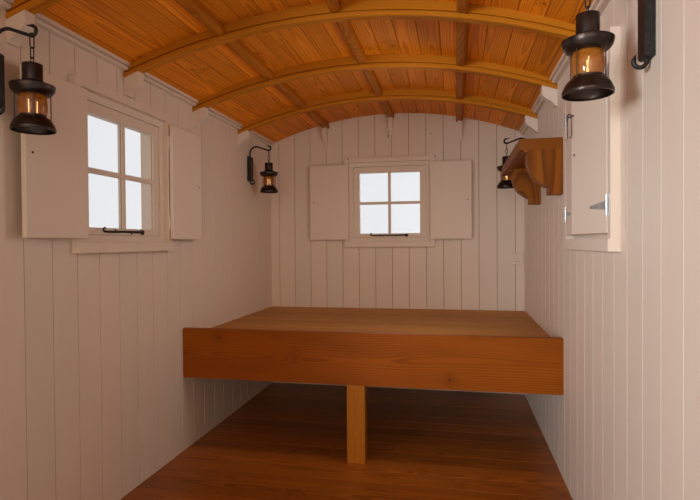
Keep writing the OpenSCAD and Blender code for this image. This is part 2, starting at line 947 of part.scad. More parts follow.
module left_shutter_near() { color(paint) hut() on_left(left_window_y) left_leaf(180); }
module left_shutter_far() { color(paint) hut() on_left(left_window_y) right_leaf(180); }
module right_shutter_near() { color(paint) hut() on_right(right_window_y) right_leaf(near_leaf_ajar); }
module right_shutter_far() { color(paint) hut() on_right(right_window_y) left_leaf(far_leaf_ajar); }
module end_shutter_left() { color(paint) hut() on_end() left_leaf(180); }
module end_shutter_right() { color(paint) hut() on_end() right_leaf(180); }

module bed_rail() {
    color("sienna") hut()
        translate([-half_w, -bed_depth, bed_rail_top - bed_rail_h])
            cube([room_w, bed_rail_t, bed_rail_h]);
}

module bed_post() {
    color("sienna") hut()
        translate([bed_post_x - bed_post_w / 2, -bed_depth, 0])
            cube([bed_post_w, bed_post_d, bed_rail_top - bed_rail_h]);
}

module bed_joists() {
    color(pine) hut()
        for (x = bed_joist_xs)
            translate([x, rail_back, platform_top - platform_t - bed_joist_h])
                cube([joist_w, -rail_back, bed_joist_h]);
}

module bed_platform() {
    color(pine) hut()
        translate([-half_w, rail_back, platform_top - platform_t])
            cube([room_w, -rail_back, platform_t]);
}

module shelf() {
    color(pine) hut()
        translate([half_w - shelf_d, -shelf_near, shelf_z])
            cube([shelf_d, shelf_near - shelf_far, shelf_t]);
}

// A corbel seen from the near side: a thin lip, a round belly and a straight foot
module corbel_profile() {
    translate([0, -corbel_lip]) square([corbel_out, corbel_lip]);
    intersection() {
        translate([corbel_belly_x, -corbel_belly_z]) circle(corbel_belly_r);
        translate([0, -corbel_h]) square([corbel_out, corbel_h]);
    }
    translate([0, -corbel_h]) square([corbel_toe, corbel_h]);
}

module shelf_corbels() {
    color(pine) hut()
        for (y = [-shelf_near, -corbel_far - corbel_w / 2])
            along(y, y + corbel_w)
                translate([half_w, shelf_z]) mirror([1, 0]) corbel_profile();
}

// Places a lantern's own parts, foot at zero, at each lantern on both side walls
module at_lanterns() {
    for (p = left_lanterns)
        on_left(p[0]) translate([0, 0, wall_top - p[1]]) children();
    for (p = right_lanterns)
        on_right(p[0]) translate([0, 0, wall_top - p[1]]) children();
}

// Turns a drawing of distance from the wall and height into a wall fitting
module side_view() {
    rotate([90, 0, -90]) children();
}

module rod_arc(centre, r, from, to) {
    translate([centre[0], centre[1], 0])
        rotate([0, 0, from])
            rotate_extrude(angle = to - from) translate([r, 0]) circle(rod_r);
}

// A straight or tapered length of rod from a point towards an angle, let into the bends
module rod(start, angle, l, end_r) {
    translate([start[0], start[1], 0])
        rotate([0, 0, angle]) translate([-rod_lap, 0, 0]) rotate([0, 90, 0])
            cylinder(r1 = rod_r - rod_ease, r2 = end_r, h = l + 2 * rod_lap);
}

// Where a rod arc ends, at the same angle as rod_arc's
function arc_end(centre, r, angle) = [centre[0] + r * cos(angle), centre[1] + r * sin(angle)];

module bracket_plate() {
    flat = plate_t - plate_bevel;
    translate([0, 0, -plate_w / 2]) linear_extrude(plate_w) polygon([
        [0, plate_foot], [flat, plate_foot],
        [plate_t, plate_foot + plate_bevel], [plate_t, plate_top - plate_bevel],
        [flat, plate_top], [0, plate_top]
    ]);
}

// Wall plate with a forged rod that arches over it, falls to an upturned hook and
// curls up again under the plate
module lantern_bracket() {
    hook_centre = [lantern_out, hook_z + hook_r];
    fall_end = arc_end(hook_centre, hook_r, -90 - rod_fall);
    fall_x = rod_x + arch_r * (1 + sin(rod_fall));
    fall_l = (fall_end[0] - fall_x) / cos(rod_fall);
    fall_z = fall_end[1] + fall_l * sin(rod_fall);
    arch_centre = [rod_x + arch_r, fall_z - arch_r * cos(rod_fall)];
    curl_centre = [rod_x + curl_r, plate_foot - rod_r];
    side_view() {
        bracket_plate();
        rod([rod_x, plate_top - rod_x], 90, arch_centre[1] - plate_top + rod_x, rod_r - rod_ease);
        rod_arc(arch_centre, arch_r, 90 - rod_fall, 180);
        rod([fall_x, fall_z], -rod_fall, fall_l, rod_r - rod_ease);
        rod_arc(hook_centre, hook_r, -90 - rod_fall, hook_turn);
        rod(arc_end(hook_centre, hook_r, hook_turn), hook_turn + 90, hook_tip, link_wire / 2);
        rod([rod_x, plate_foot + rod_x], -90, rod_x + rod_r, rod_r - rod_ease);
        rod_arc(curl_centre, curl_r, 180, 180 + curl_turn);
        rod(arc_end(curl_centre, curl_r, 180 + curl_turn), 270 + curl_turn, curl_tip, link_wire / 2);
    }
}

module lantern_brackets() {
    color(iron) hut() at_lanterns() lantern_bracket();
}

// A long ring of wire that stands on its foot in the plane of the wall
module link(w, l) {
    r = w / 2 - link_wire;
    for (side = [-1, 1])
        translate([side * r, 0, w / 2]) cylinder(r = link_wire, h = l - w);
    translate([0, 0, w / 2])
        rotate([-90, 0, 0]) rotate_extrude(angle = 180) translate([r, 0]) circle(link_wire);
    translate([0, 0, l - w / 2])
        rotate([90, 0, 0]) rotate_extrude(angle = 180) translate([r, 0]) circle(link_wire);
}

module lantern_chains() {
    color(iron) hut() at_lanterns() translate([0, -lantern_out, 0]) {
        translate([0, 0, short_link_z]) rotate([0, 0, 90]) link(link_w, short_link_l);
        translate([0, 0, long_link_z]) link(long_link_w, long_link_l);
    }
}

// The dome as radius and height, from one height up to another
module dome_outline(arc_r, foot, top) {
    intersection() {
        translate([dome_centre, 0]) circle(arc_r, $fn = 96);
        translate([0, foot]) square([lantern_r, top - foot]);
    }
}

// The base: a thin dome, open underneath, with a rim round the glass's foot
module base_section() {
    difference() {
        dome_outline(dome_arc_r, 0, dome_h);
        dome_outline(dome_arc_r - lantern_wall, -lantern_wall, dome_h - lantern_wall);
    }
    translate([lantern_glass_r + fit, dome_h - lantern_wall / 2])
        square([lantern_wall, gallery_h + lantern_wall / 2]);
}

// The brim's bowl with a bead and a lip, the shoulder and the round cap
module cap_section_outline() {
    difference() {
        union() {
            intersection() {
                translate([lantern_r - brim_arc_r, lip_z]) circle(brim_arc_r, $fn = 96);
                translate([0, brim_z]) square([lantern_r, brim_h]);
            }
            translate([lantern_r - lip_h, lip_z - brim_h / 3]) circle(lip_h);
            polygon([
                [0, lip_z - 1], [lantern_r - 1, lip_z - 1], [lantern_r, lip_z],
                [lantern_r, lip_z + lip_h], [lantern_r - lip_h, lip_z + lip_h],
                [cap_r + lip_h, cap_z - lip_h], [cap_r, cap_z],
                [cap_r, lantern_h - lantern_wall], [cap_r - lantern_wall, lantern_h], [0, lantern_h]
            ]);
        }
        translate([0, brim_z - 1]) square([lantern_glass_r + fit, glass_seat + 1]);
    }
}

// Domed base and capped brim joined by four wires, with a ring on top
module lantern() {
    wire_arc_r = dome_arc_r - lantern_wall / 2;
    wire_foot = sqrt(wire_arc_r * wire_arc_r - pow(guard_r - dome_centre, 2));
    translate([0, -lantern_out, 0]) {
        rotate_extrude() base_section();
        rotate_extrude() cap_section_outline();
        for (a = [45:90:315])
            rotate([0, 0, a]) translate([guard_r, 0, wire_foot])
                cylinder(r = guard_wire, h = brim_z + glass_seat - wire_foot);
        translate([0, 0, ring_z]) link(link_w, ring_l);
    }
}

module lanterns() {
    color(iron) hut() at_lanterns() lantern();
}

module lantern_glasses() {
    color("khaki") hut() at_lanterns()
        translate([0, -lantern_out, dome_h])
            difference() {
                cylinder(r = lantern_glass_r, h = glass_top - dome_h);
                translate([0, 0, -1])
                    cylinder(r = lantern_glass_r - lantern_wall, h = lantern_h);
            }
}

floor_frame();
floor_boards();
left_lining();
right_lining();
end_lining();
wall_studs();
wall_end_posts();
left_cladding();
right_cladding();
end_cladding();
ceiling_boards();
roof_battens();
roof_sheet();
verge_board();
bow_1();
bow_2();
bow_3();
bow_4();
bow_5();
purlins();
left_cornice();
right_cornice();
bow_knees();
purlin_knees();
left_window_frame();
right_window_frame();
end_window_frame();
left_casement();
right_casement();
end_casement();
window_glass();
window_stays();
shutter_hinges();
left_shutter_near();
left_shutter_far();
right_shutter_near();
right_shutter_far();
end_shutter_left();
end_shutter_right();
bed_rail();
bed_post();
bed_joists();
bed_platform();
shelf();
shelf_corbels();
lantern_brackets();
lantern_chains();
lanterns();
lantern_glasses();
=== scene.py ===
"""Looks of the sleeping end of a shepherd's hut: boarded walls, floor and ceiling, painted shutters
on iron hinges, pine roof bows, wall lanterns and a curved corrugated roof, placed from the frame."""
import math
import random
from functools import partial

import bmesh
import bpy
from mathutils import Matrix, Vector


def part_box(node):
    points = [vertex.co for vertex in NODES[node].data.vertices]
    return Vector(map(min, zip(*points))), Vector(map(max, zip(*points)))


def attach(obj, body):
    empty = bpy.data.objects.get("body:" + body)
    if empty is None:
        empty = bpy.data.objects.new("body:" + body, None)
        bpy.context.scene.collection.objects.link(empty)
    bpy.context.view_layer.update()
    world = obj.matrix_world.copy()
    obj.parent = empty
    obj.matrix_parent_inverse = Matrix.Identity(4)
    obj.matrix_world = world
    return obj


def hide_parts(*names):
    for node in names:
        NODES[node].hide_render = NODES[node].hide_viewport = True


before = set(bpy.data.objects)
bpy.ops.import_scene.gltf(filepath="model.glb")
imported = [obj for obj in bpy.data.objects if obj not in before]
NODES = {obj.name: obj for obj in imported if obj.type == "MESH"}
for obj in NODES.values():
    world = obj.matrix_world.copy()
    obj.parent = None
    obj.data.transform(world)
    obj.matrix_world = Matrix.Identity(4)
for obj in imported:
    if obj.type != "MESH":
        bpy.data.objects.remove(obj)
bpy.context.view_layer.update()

# Levels and faces of the hut, in metres, read from the frame
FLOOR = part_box("floor_boards")[1].z
OPEN_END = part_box("left_lining")[0].y
END_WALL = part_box("end_lining")[0].y
END_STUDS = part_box("end_cladding")[0].y
END_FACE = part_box("end_cladding")[1].y
ROOM_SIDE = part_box("right_lining")[0].x
STUD_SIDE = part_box("right_cladding")[0].x
OUT_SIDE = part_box("right_cladding")[1].x
LINING_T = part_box("right_lining")[1].x - ROOM_SIDE
CLADDING_T = OUT_SIDE - STUD_SIDE
FLOOR_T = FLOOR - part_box("floor_boards")[0].z

# The roof's curves share one centre line, and the bows' undersides have one of their own
CEILING_R = 2.460
CEILING_T = 0.012
BATTEN_R = CEILING_R + CEILING_T + 0.045
SHEET_R = BATTEN_R + 0.0003
SHEET_D = 0.018
ROOF_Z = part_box("ceiling_boards")[1].z - CEILING_R - CEILING_T
BOW_R = 2.700
BOW_Z = ROOF_Z + CEILING_R - 0.064 - BOW_R
BOW_SPACING = 0.610
PURLIN_X = 0.503
WALL_TOP = ROOF_Z + math.sqrt(CEILING_R * CEILING_R - ROOM_SIDE * ROOM_SIDE)

# Boards: width that each one covers, the gap at a joint and the size of its chamfers
WALL_COVER = 0.1265
WALL_SEAM = 0.0035
FLOOR_COVER = 0.120
BED_COVER = 0.0945
BOARD_GAP = 0.0008
CHAMFER = 0.0022
CEILING_COVER = CEILING_R * math.asin(PURLIN_X / CEILING_R) / 5
HOLE_MARGIN = 0.038

# Shutters, as in the frame: leaves hang on pins at the jambs
WINDOW_HALF = 0.305
JAMB_OUT = 0.028
LEAF_T = 0.018
LEAF_GAP = 0.005
MEETING_GAP = 0.008
LEAF_W = WINDOW_HALF - MEETING_GAP / 2 - LEAF_GAP
PIN_U = WINDOW_HALF - LEAF_GAP / 2
PLATE_T = 0.002
PIN_OUT = JAMB_OUT + PLATE_T + 0.0005
LEAF_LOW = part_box("end_shutter_left")[0].z
LEAF_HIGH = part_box("end_shutter_left")[1].z
HINGE_INSET = 0.086
HINGE_ZS = (LEAF_LOW + HINGE_INSET, LEAF_HIGH - HINGE_INSET)
PLATE_H = 0.064
PLATE_W = 0.024
STRAP_L = 0.130
STRAP_ROOT = 0.028
STRAP_TIP = 0.010
KNUCKLE_R = 0.0032

# Leaves: node, wall, side of the window and angle at rest, in degrees from shut
LEAVES = (
    ("left_shutter_near", "left", -1, 180),
    ("left_shutter_far", "left", 1, 180),
    ("right_shutter_near", "right", 1, 8),
    ("right_shutter_far", "right", -1, 4),
    ("end_shutter_left", "end", -1, 180),
    ("end_shutter_right", "end", 1, 180),
)

# Painted timber of the windows, as the frame has it
WINDOW_TIMBER = ("left_window_frame", "right_window_frame", "end_window_frame", "left_casement",
                 "right_casement", "end_casement")

# Small ironwork: the studs' distance from a leaf's free edge and the stays' places on a sash
STUD_IN = 0.029
STAY_HALF = 0.139
STAY_RISE = 0.015
STAY_OUT = -0.004

# Lanterns: distance from the wall, and of each one its wall, u along it and height of its foot
LANTERN_OUT = 0.150
LANTERNS = (
    ("left", END_WALL - 2.520, WALL_TOP - 0.424),
    ("left", END_WALL - 0.450, WALL_TOP - 0.419),
    ("right", 2.470 - END_WALL, WALL_TOP - 0.401),
    ("right", 0.330 - END_WALL, WALL_TOP - 0.419),
)

# Colours
PAINT = (0.72, 0.61, 0.51)
PAINT_ROSY = (0.72, 0.58, 0.49)
# Painted shade for the joints between painted boards
PAINT_JOINT_SHADE = (0.28, 0.17, 0.10)
# Knots' colour, also used as painted shade in the joints between wooden boards
KNOT_AND_JOINT_SHADE = (0.13, 0.030, 0.006)
ZINC = (0.42, 0.44, 0.46)
ZINC_BRIGHT = (0.62, 0.64, 0.66)

# Woods, each as the colours of its early and its late growth
HONEY = ((0.84, 0.270, 0.013), (0.42, 0.094, 0.004))
BOW = ((0.56, 0.205, 0.012), (0.33, 0.092, 0.004))
# The purlins: the bows' pine made darker, as painted shade
SHADED_PURLIN = ((0.45, 0.145, 0.008), (0.26, 0.064, 0.003))
PLANK = ((0.37, 0.106, 0.011), (0.15, 0.035, 0.004))
RAIL = ((0.30, 0.074, 0.003), (0.13, 0.025, 0.002))
POST = ((0.42, 0.142, 0.009), (0.24, 0.066, 0.004))
SHELF = ((0.26, 0.076, 0.005), (0.10, 0.022, 0.002))
BED = ((0.52, 0.250, 0.065), (0.34, 0.130, 0.025))
SAWN = ((0.62, 0.42, 0.22), (0.42, 0.24, 0.10))

# Lamps: name, place, target, width and height, watts, colour and spread in degrees
LAMPS = (
    ("front", (0.6, -6.2, 1.9), (-0.1, 1.2, 1.2), (3.0, 2.5), 72.0, (1.0, 0.75, 0.51), 180),
    ("side", (-2.4, -5.0, 1.4), (0.95, -1.7, 1.4), (1.2, 1.2), 28.0, (0.91, 0.97, 1.0), 60),
    ("inside", (0.56, 0.0, 1.55), (-0.95, 0.5, 1.0), (0.5, 0.7), 4.3, (1.0, 0.94, 0.89), 180),
    ("above", (2.5, -1.0, 7.0), (0.0, 0.0, 1.0), (4.0, 4.0), 230.0, (1.0, 0.99, 0.97), 180),
    ("left", (-5.0, 0.2, 2.4), (-1.0, 0.2, 1.1), (3.0, 2.0), 85.0, (0.97, 0.98, 1.0), 180),
    ("right", (5.0, 0.2, 2.4), (1.0, 0.2, 1.1), (3.0, 2.0), 85.0, (1.0, 0.98, 0.95), 180),
    ("back", (0.0, 5.6, 2.4), (0.0, 1.6, 1.1), (3.0, 2.0), 85.0, (0.98, 0.99, 1.0), 180),
)

# Surroundings: the light that falls from them, and what is seen of them and of the floor
SKY_LIGHT = (1.0, 0.75, 0.52, 1.0)
SKY_STRENGTH = 0.30
SKY_SEEN = (0.93, 0.96, 1.0, 1.0)
FLOOR_SEEN = (0.97, 0.98, 1.0)
FLOOR_GLOW = 0.50

# Corners of a square, anticlockwise
SQUARE = ((-1, -1), (1, -1), (1, 1), (-1, 1))


def round_turns(count):
    """Angles spread evenly round a circle."""
    return [2 * math.pi * i / count for i in range(count)]


def arc_points(centre_r, centre_z, radius, start, end, steps):
    """Radius and height along an arc, from one angle to another in degrees."""
    turns = [math.radians(start + (end - start) * i / steps) for i in range(steps + 1)]
    return [(centre_r + radius * math.cos(t), centre_z + radius * math.sin(t)) for t in turns]


def middle_of(node):
    """The middle of a node's box."""
    return sum(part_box(node), Vector()) / 2


def add_object(name, data):
    """Puts data in the scene as a new object."""
    made = bpy.data.objects.new(name, data)
    bpy.context.scene.collection.objects.link(made)
    return made


def round_edges(piece, width, least_angle):
    """Rounds the edges of a piece that turn by more than an angle in degrees."""
    rounding = piece.modifiers.new("rounding", "BEVEL")
    rounding.width = width
    rounding.segments = 2
    rounding.limit_method = "ANGLE"
    rounding.angle_limit = math.radians(least_angle)


class Look:
    """A material in the making. Its methods add a node and return the node's result."""

    def __init__(self, name):
        self.material = bpy.data.materials.new(name)
        self.material.use_nodes = True
        self.tree = self.material.node_tree
        self.shader = self.tree.nodes["Principled BSDF"]

    def feed(self, socket, value):
        if isinstance(value, bpy.types.NodeSocket):
            self.tree.links.new(value, socket)
        else:
            socket.default_value = value

    def node(self, kind, *inputs, settings=None, **named):
        made = self.tree.nodes.new("ShaderNode" + kind)
        for key, value in (settings or {}).items():
            setattr(made, key, value)
        for socket, value in zip(made.inputs, inputs):
            self.feed(socket, value)
        for key, value in named.items():
            self.feed(made.inputs[key.replace("_", " ")], value)
        return made

    def math(self, operation, *inputs):
        return self.node("Math", *inputs, settings={"operation": operation}).outputs[0]

    def vector(self, operation, *inputs):
        made = self.node("VectorMath", *inputs, settings={"operation": operation})
        return made.outputs["Value" if operation == "LENGTH" else "Vector"]

    def scaled(self, value, amount):
        made = self.node("VectorMath", value, settings={"operation": "SCALE"}, Scale=amount)
        return made.outputs["Vector"]

    def noise(self, where, stretch, detail=2.0):
        """Noise from 0 to 1, whose grains are one metre over stretch, which is one number or one
        for each direction."""
        if not isinstance(stretch, tuple):
            stretch = (stretch, stretch, stretch)
        at = self.vector("MULTIPLY", where, stretch)
        return self.node("TexNoise", Vector=at, Scale=1.0, Detail=detail)

    def uneven(self, where, stretch, amount=1.0, detail=2.0):
        """A number that wanders about zero by amount."""
        fac = self.noise(where, stretch, detail).outputs["Fac"]
        return self.math("MULTIPLY_ADD", fac, 2 * amount, -amount)

    def fade(self, value, zero_at, one_at):
        """Zero at one value and one at another, with a soft passage between them."""
        settings = {"interpolation_type": "SMOOTHSTEP"}
        made = self.node("MapRange", value, zero_at, one_at, 0.0, 1.0, settings=settings)
        return made.outputs["Result"]

    def mix(self, amount, a, b):
        made = self.node("Mix", settings={"data_type": "RGBA"})
        for socket, value in ((0, amount), (6, a), (7, b)):
            self.feed(made.inputs[socket], (*value, 1.0) if isinstance(value, tuple) else value)
        return made.outputs[2]

    def place(self):
        """Where a point of the hut lies, in metres."""
        return self.node("TexCoord").outputs["Object"]

    def stored(self, name):
        made = self.node("Attribute", settings={"attribute_name": name})
        return made.outputs["Vector" if name == "grain" else "Fac"]

    def bump(self, height, strength, distance):
        made = self.node("Bump", Height=height, Strength=strength, Distance=distance)
        self.feed(self.shader.inputs["Normal"], made.outputs["Normal"])

    def finish(self, **values):
        for key, value in values.items():
            if isinstance(value, tuple):
                value = (*value, 1.0)
            self.feed(self.shader.inputs[key.replace("_", " ")], value)
        return self.material


def board_grain(look):
    """Grain of a made board: metres along, across and into it, kept on its points."""
    return look.stored("grain")


def straight_grain(order, centre=(0.0, 0.0, 0.0)):
    """Grain of a straight timber whose length is the first direction in order."""
    def where(look):
        place = look.vector("SUBTRACT", look.place(), centre)
        parts = look.node("SeparateXYZ", place).outputs
        return look.node("CombineXYZ", *(parts[letter] for letter in order)).outputs[0]
    return where


def bow_grain(look):
    """Grain that follows a bow's curve, different from bow to bow."""
    parts = look.node("SeparateXYZ", look.place()).outputs
    up = look.math("SUBTRACT", parts["Z"], BOW_Z)
    angle = look.math("ARCTAN2", parts["X"], up)
    flat = look.node("CombineXYZ", parts["X"], up, 0.0).outputs[0]
    step = look.math("DIVIDE", look.math("SUBTRACT", parts["Y"], END_WALL), BOW_SPACING)
    number = look.math("ROUND", step)
    across = look.math("MULTIPLY", look.math("SUBTRACT", step, number), BOW_SPACING)
    along = look.math("MULTIPLY_ADD", angle, BOW_R, look.math("MULTIPLY", number, 7.3))
    into = look.math("SUBTRACT", look.vector("LENGTH", flat), BOW_R)
    return look.node("CombineXYZ", along, across, into).outputs[0]


def wood(name, tones, where, ring=0.0065, pith=0.035, drift=0.06, knot=0.012, figure=0.45,
         rough=0.48, coat=0.0, shade=0.14, blotches=0.16, joint=0.75, gloss=0.16):
    """Softwood: growth rings round a pith line that wanders under the face, knots that turn
    the rings aside, fine fibres, a tone of its own for each board, and painted shade in the joints."""
    light, dark = tones
    knot_spacing = 0.19
    knot_push = 0.016
    ring_waver = 0.0011
    sink = 2.2 * drift
    look = Look(name)
    grain = where(look)
    wander = look.noise(grain, (0.75, 3.0, 3.0)).outputs["Color"]
    wander = look.vector("SUBTRACT", wander, (0.5, 0.5, 0.5))
    wander = look.vector("MULTIPLY", wander, (0.0, drift, sink))
    off_pith = look.vector("MULTIPLY", look.vector("ADD", grain, wander), (0.0, 1.0, 1.0))
    radius = look.vector("LENGTH", look.vector("ADD", off_pith, (0.0, 0.0, pith)))

    cells = look.node("TexVoronoi", Vector=grain, Scale=1.0 / knot_spacing).outputs["Distance"]
    knot_gap = look.math("MULTIPLY", cells, knot_spacing)
    aside = look.fade(knot_gap, 5.0 * knot, 0.0)
    heart = look.fade(knot_gap, knot, 0.6 * knot)
    radius = look.math("MULTIPLY_ADD", aside, knot_push, radius)
    radius = look.math("ADD", radius, look.uneven(grain, (3.0, 40.0, 40.0), ring_waver))
    phase = look.math("FRACT", look.math("DIVIDE", radius, ring))
    late = look.math("MULTIPLY", look.fade(phase, 0.25, 0.86), look.fade(phase, 1.0, 0.93))

    fibre = look.uneven(grain, (7.0, 420.0, 420.0))
    blotch = look.uneven(grain, (1.6, 9.0, 9.0))
    colour = look.mix(look.math("MULTIPLY", late, figure), light, dark)
    colour = look.mix(look.math("MULTIPLY", aside, 0.35), colour, dark)
    colour = look.mix(look.math("MULTIPLY", heart, 0.9), colour, KNOT_AND_JOINT_SHADE)
    level = look.math("MULTIPLY_ADD", look.stored("tint"), shade, 1.0)
    level = look.math("MULTIPLY_ADD", fibre, 0.10, level)
    level = look.math("MULTIPLY_ADD", blotch, blotches, level)
    colour = look.scaled(colour, level)
    # Painted shade: joints and chamfers between boards darken towards the knot colour, by the amount
    # joint
    colour = look.mix(look.math("MULTIPLY", look.stored("joint"), joint), colour, KNOT_AND_JOINT_SHADE)
    height = look.math("MULTIPLY_ADD", late, 0.5, look.math("MULTIPLY", fibre, 0.35))
    look.bump(height, 0.3, 0.0006)
    roughness = look.math("MULTIPLY_ADD", fibre, 0.06, rough)
    return look.finish(Base_Color=colour, Roughness=roughness, Coat_Weight=coat,
                       Coat_Roughness=0.18, Specular_IOR_Level=gloss)


def paint(name, where):
    """Eggshell paint brushed along a board, with the timber just showing through it and painted shade
    in its joints.
    """
    look = Look(name)
    grain = where(look)
    brush = look.uneven(grain, (5.0, 210.0, 210.0))
    cloudy = look.uneven(grain, (2.2, 5.0, 5.0), detail=3.0)
    worn = look.uneven(grain, 30.0, detail=4.0)
    spots = look.node("TexVoronoi", Vector=grain, Scale=4.6).outputs["Distance"]
    ghost = look.fade(spots, 0.10, 0.03)
    tint = look.stored("tint")
    level = look.math("MULTIPLY_ADD", tint, 0.030, 1.0)
    level = look.math("MULTIPLY_ADD", cloudy, 0.045, level)
    level = look.math("MULTIPLY_ADD", brush, 0.015, level)
    own_rose = look.math("MULTIPLY_ADD", tint, 0.5, 0.5)
    rosy = look.math("ADD", own_rose, look.math("MULTIPLY", cloudy, 0.4))
    colour = look.mix(rosy, PAINT, PAINT_ROSY)
    colour = look.mix(look.math("MULTIPLY", ghost, 0.10), colour, HONEY[0])
    colour = look.scaled(colour, level)
    # Painted shade: the joints and chamfers between boards darken towards a brown shade colour
    colour = look.mix(look.math("MULTIPLY", look.stored("joint"), 0.75), colour, PAINT_JOINT_SHADE)
    look.bump(look.math("MULTIPLY_ADD", worn, 0.3, look.math("MULTIPLY", brush, 0.7)), 0.22, 0.0005)
    return look.finish(Base_Color=colour, Roughness=look.math("MULTIPLY_ADD", worn, 0.05, 0.5))


def forged_iron():
    """Black iron with hammered dents."""
    look = Look("forged_iron")
    place = look.place()
    dents = look.uneven(place, 75.0, detail=3.0)
    grit = look.uneven(place, 900.0)
    colour = look.mix(look.fade(dents, -0.4, 0.6), (0.012, 0.012, 0.013), (0.035, 0.032, 0.031))
    look.bump(look.math("MULTIPLY_ADD", grit, 0.12, dents), 0.35, 0.0012)
    roughness = look.math("MULTIPLY_ADD", dents, 0.08, 0.46)
    return look.finish(Base_Color=colour, Metallic=0.6, Roughness=roughness)


def bronzed_sheet():
    """Dark bronzed sheet metal, rubbed in places."""
    look = Look("bronzed_sheet")
    place = look.place()
    cloudy = look.uneven(place, 28.0, detail=4.0)
    rubbed = look.uneven(place, 160.0, detail=3.0)
    colour = look.mix(look.fade(cloudy, -0.5, 0.6), (0.022, 0.014, 0.012), (0.055, 0.034, 0.026))
    colour = look.mix(look.fade(rubbed, 0.35, 0.8), colour, (0.11, 0.065, 0.045))
    look.bump(rubbed, 0.12, 0.0006)
    roughness = look.math("MULTIPLY_ADD", cloudy, 0.10, 0.32)
    return look.finish(Base_Color=colour, Metallic=0.75, Roughness=roughness)


def spangled_zinc(look):
    """The colour and roughness of galvanised steel."""
    place = look.place()
    spangle = look.node("TexVoronoi", Vector=place, Scale=230.0).outputs["Color"]
    flake = look.node("SeparateXYZ", spangle).outputs["X"]
    return look.mix(flake, ZINC, ZINC_BRIGHT), look.math("MULTIPLY_ADD", flake, 0.14, 0.30)


def galvanised_steel():
    """Bare steel with a coat of zinc."""
    look = Look("galvanised_steel")
    colour, roughness = spangled_zinc(look)
    look.bump(look.uneven(look.place(), 60.0, detail=3.0), 0.10, 0.0005)
    return look.finish(Base_Color=colour, Metallic=1.0, Roughness=roughness)


def hinge_finish():
    """Hinge plates: bare steel on the right wall and painted with the walls elsewhere."""
    look = Look("hinge_finish")
    zinc, zinc_roughness = spangled_zinc(look)
    place = look.place()
    side = look.node("SeparateXYZ", place).outputs["X"]
    bare = look.fade(side, 0.5 * ROOM_SIDE, 0.6 * ROOM_SIDE)
    smear = look.uneven(place, 60.0, detail=3.0)
    coated = look.scaled(PAINT, look.math("MULTIPLY_ADD", smear, 0.05, 1.0))
    roughness = look.math("MULTIPLY_ADD", bare, look.math("SUBTRACT", zinc_roughness, 0.5), 0.5)
    look.bump(smear, 0.10, 0.0005)
    return look.finish(Base_Color=look.mix(bare, coated, zinc), Metallic=bare, Roughness=roughness)


def roof_steel():
    """Dark green roof paint, dusty and streaked along the slope."""
    look = Look("roof_steel")
    place = look.place()
    streaks = look.uneven(place, (9.0, 30.0, 9.0), detail=4.0)
    dust = look.uneven(place, 2.0, detail=4.0)
    colour = look.mix(look.fade(streaks, -0.8, 0.8), (0.045, 0.060, 0.055), (0.075, 0.095, 0.085))
    colour = look.mix(look.fade(dust, 0.1, 1.0), colour, (0.17, 0.16, 0.13))
    look.bump(streaks, 0.10, 0.0008)
    roughness = look.math("MULTIPLY_ADD", dust, 0.10, 0.48)
    return look.finish(Base_Color=colour, Metallic=0.2, Roughness=roughness)


def clear_glass(name, colour, alpha):
    """Thin glass of one colour, faintly wavy and smeared."""
    look = Look(name)
    place = look.place()
    look.bump(look.uneven(place, 7.0), 0.05, 0.002)
    smear = look.uneven(place, 12.0, 0.02, detail=3.0)
    roughness = look.math("ADD", smear, 0.05)
    return look.finish(Base_Color=colour, Roughness=roughness, IOR=1.5, Alpha=alpha)


def glow():
    """A lit filament: warm amber, brighter in small beads along it."""
    look = Look("filament")
    beads = look.uneven(look.place(), 600.0)
    colour = look.mix(look.fade(beads, -0.6, 0.6), (1.0, 0.50, 0.12), (1.0, 0.72, 0.32))
    return look.finish(Base_Color=(1.0, 0.6, 0.2), Emission_Color=colour, Emission_Strength=5.0)


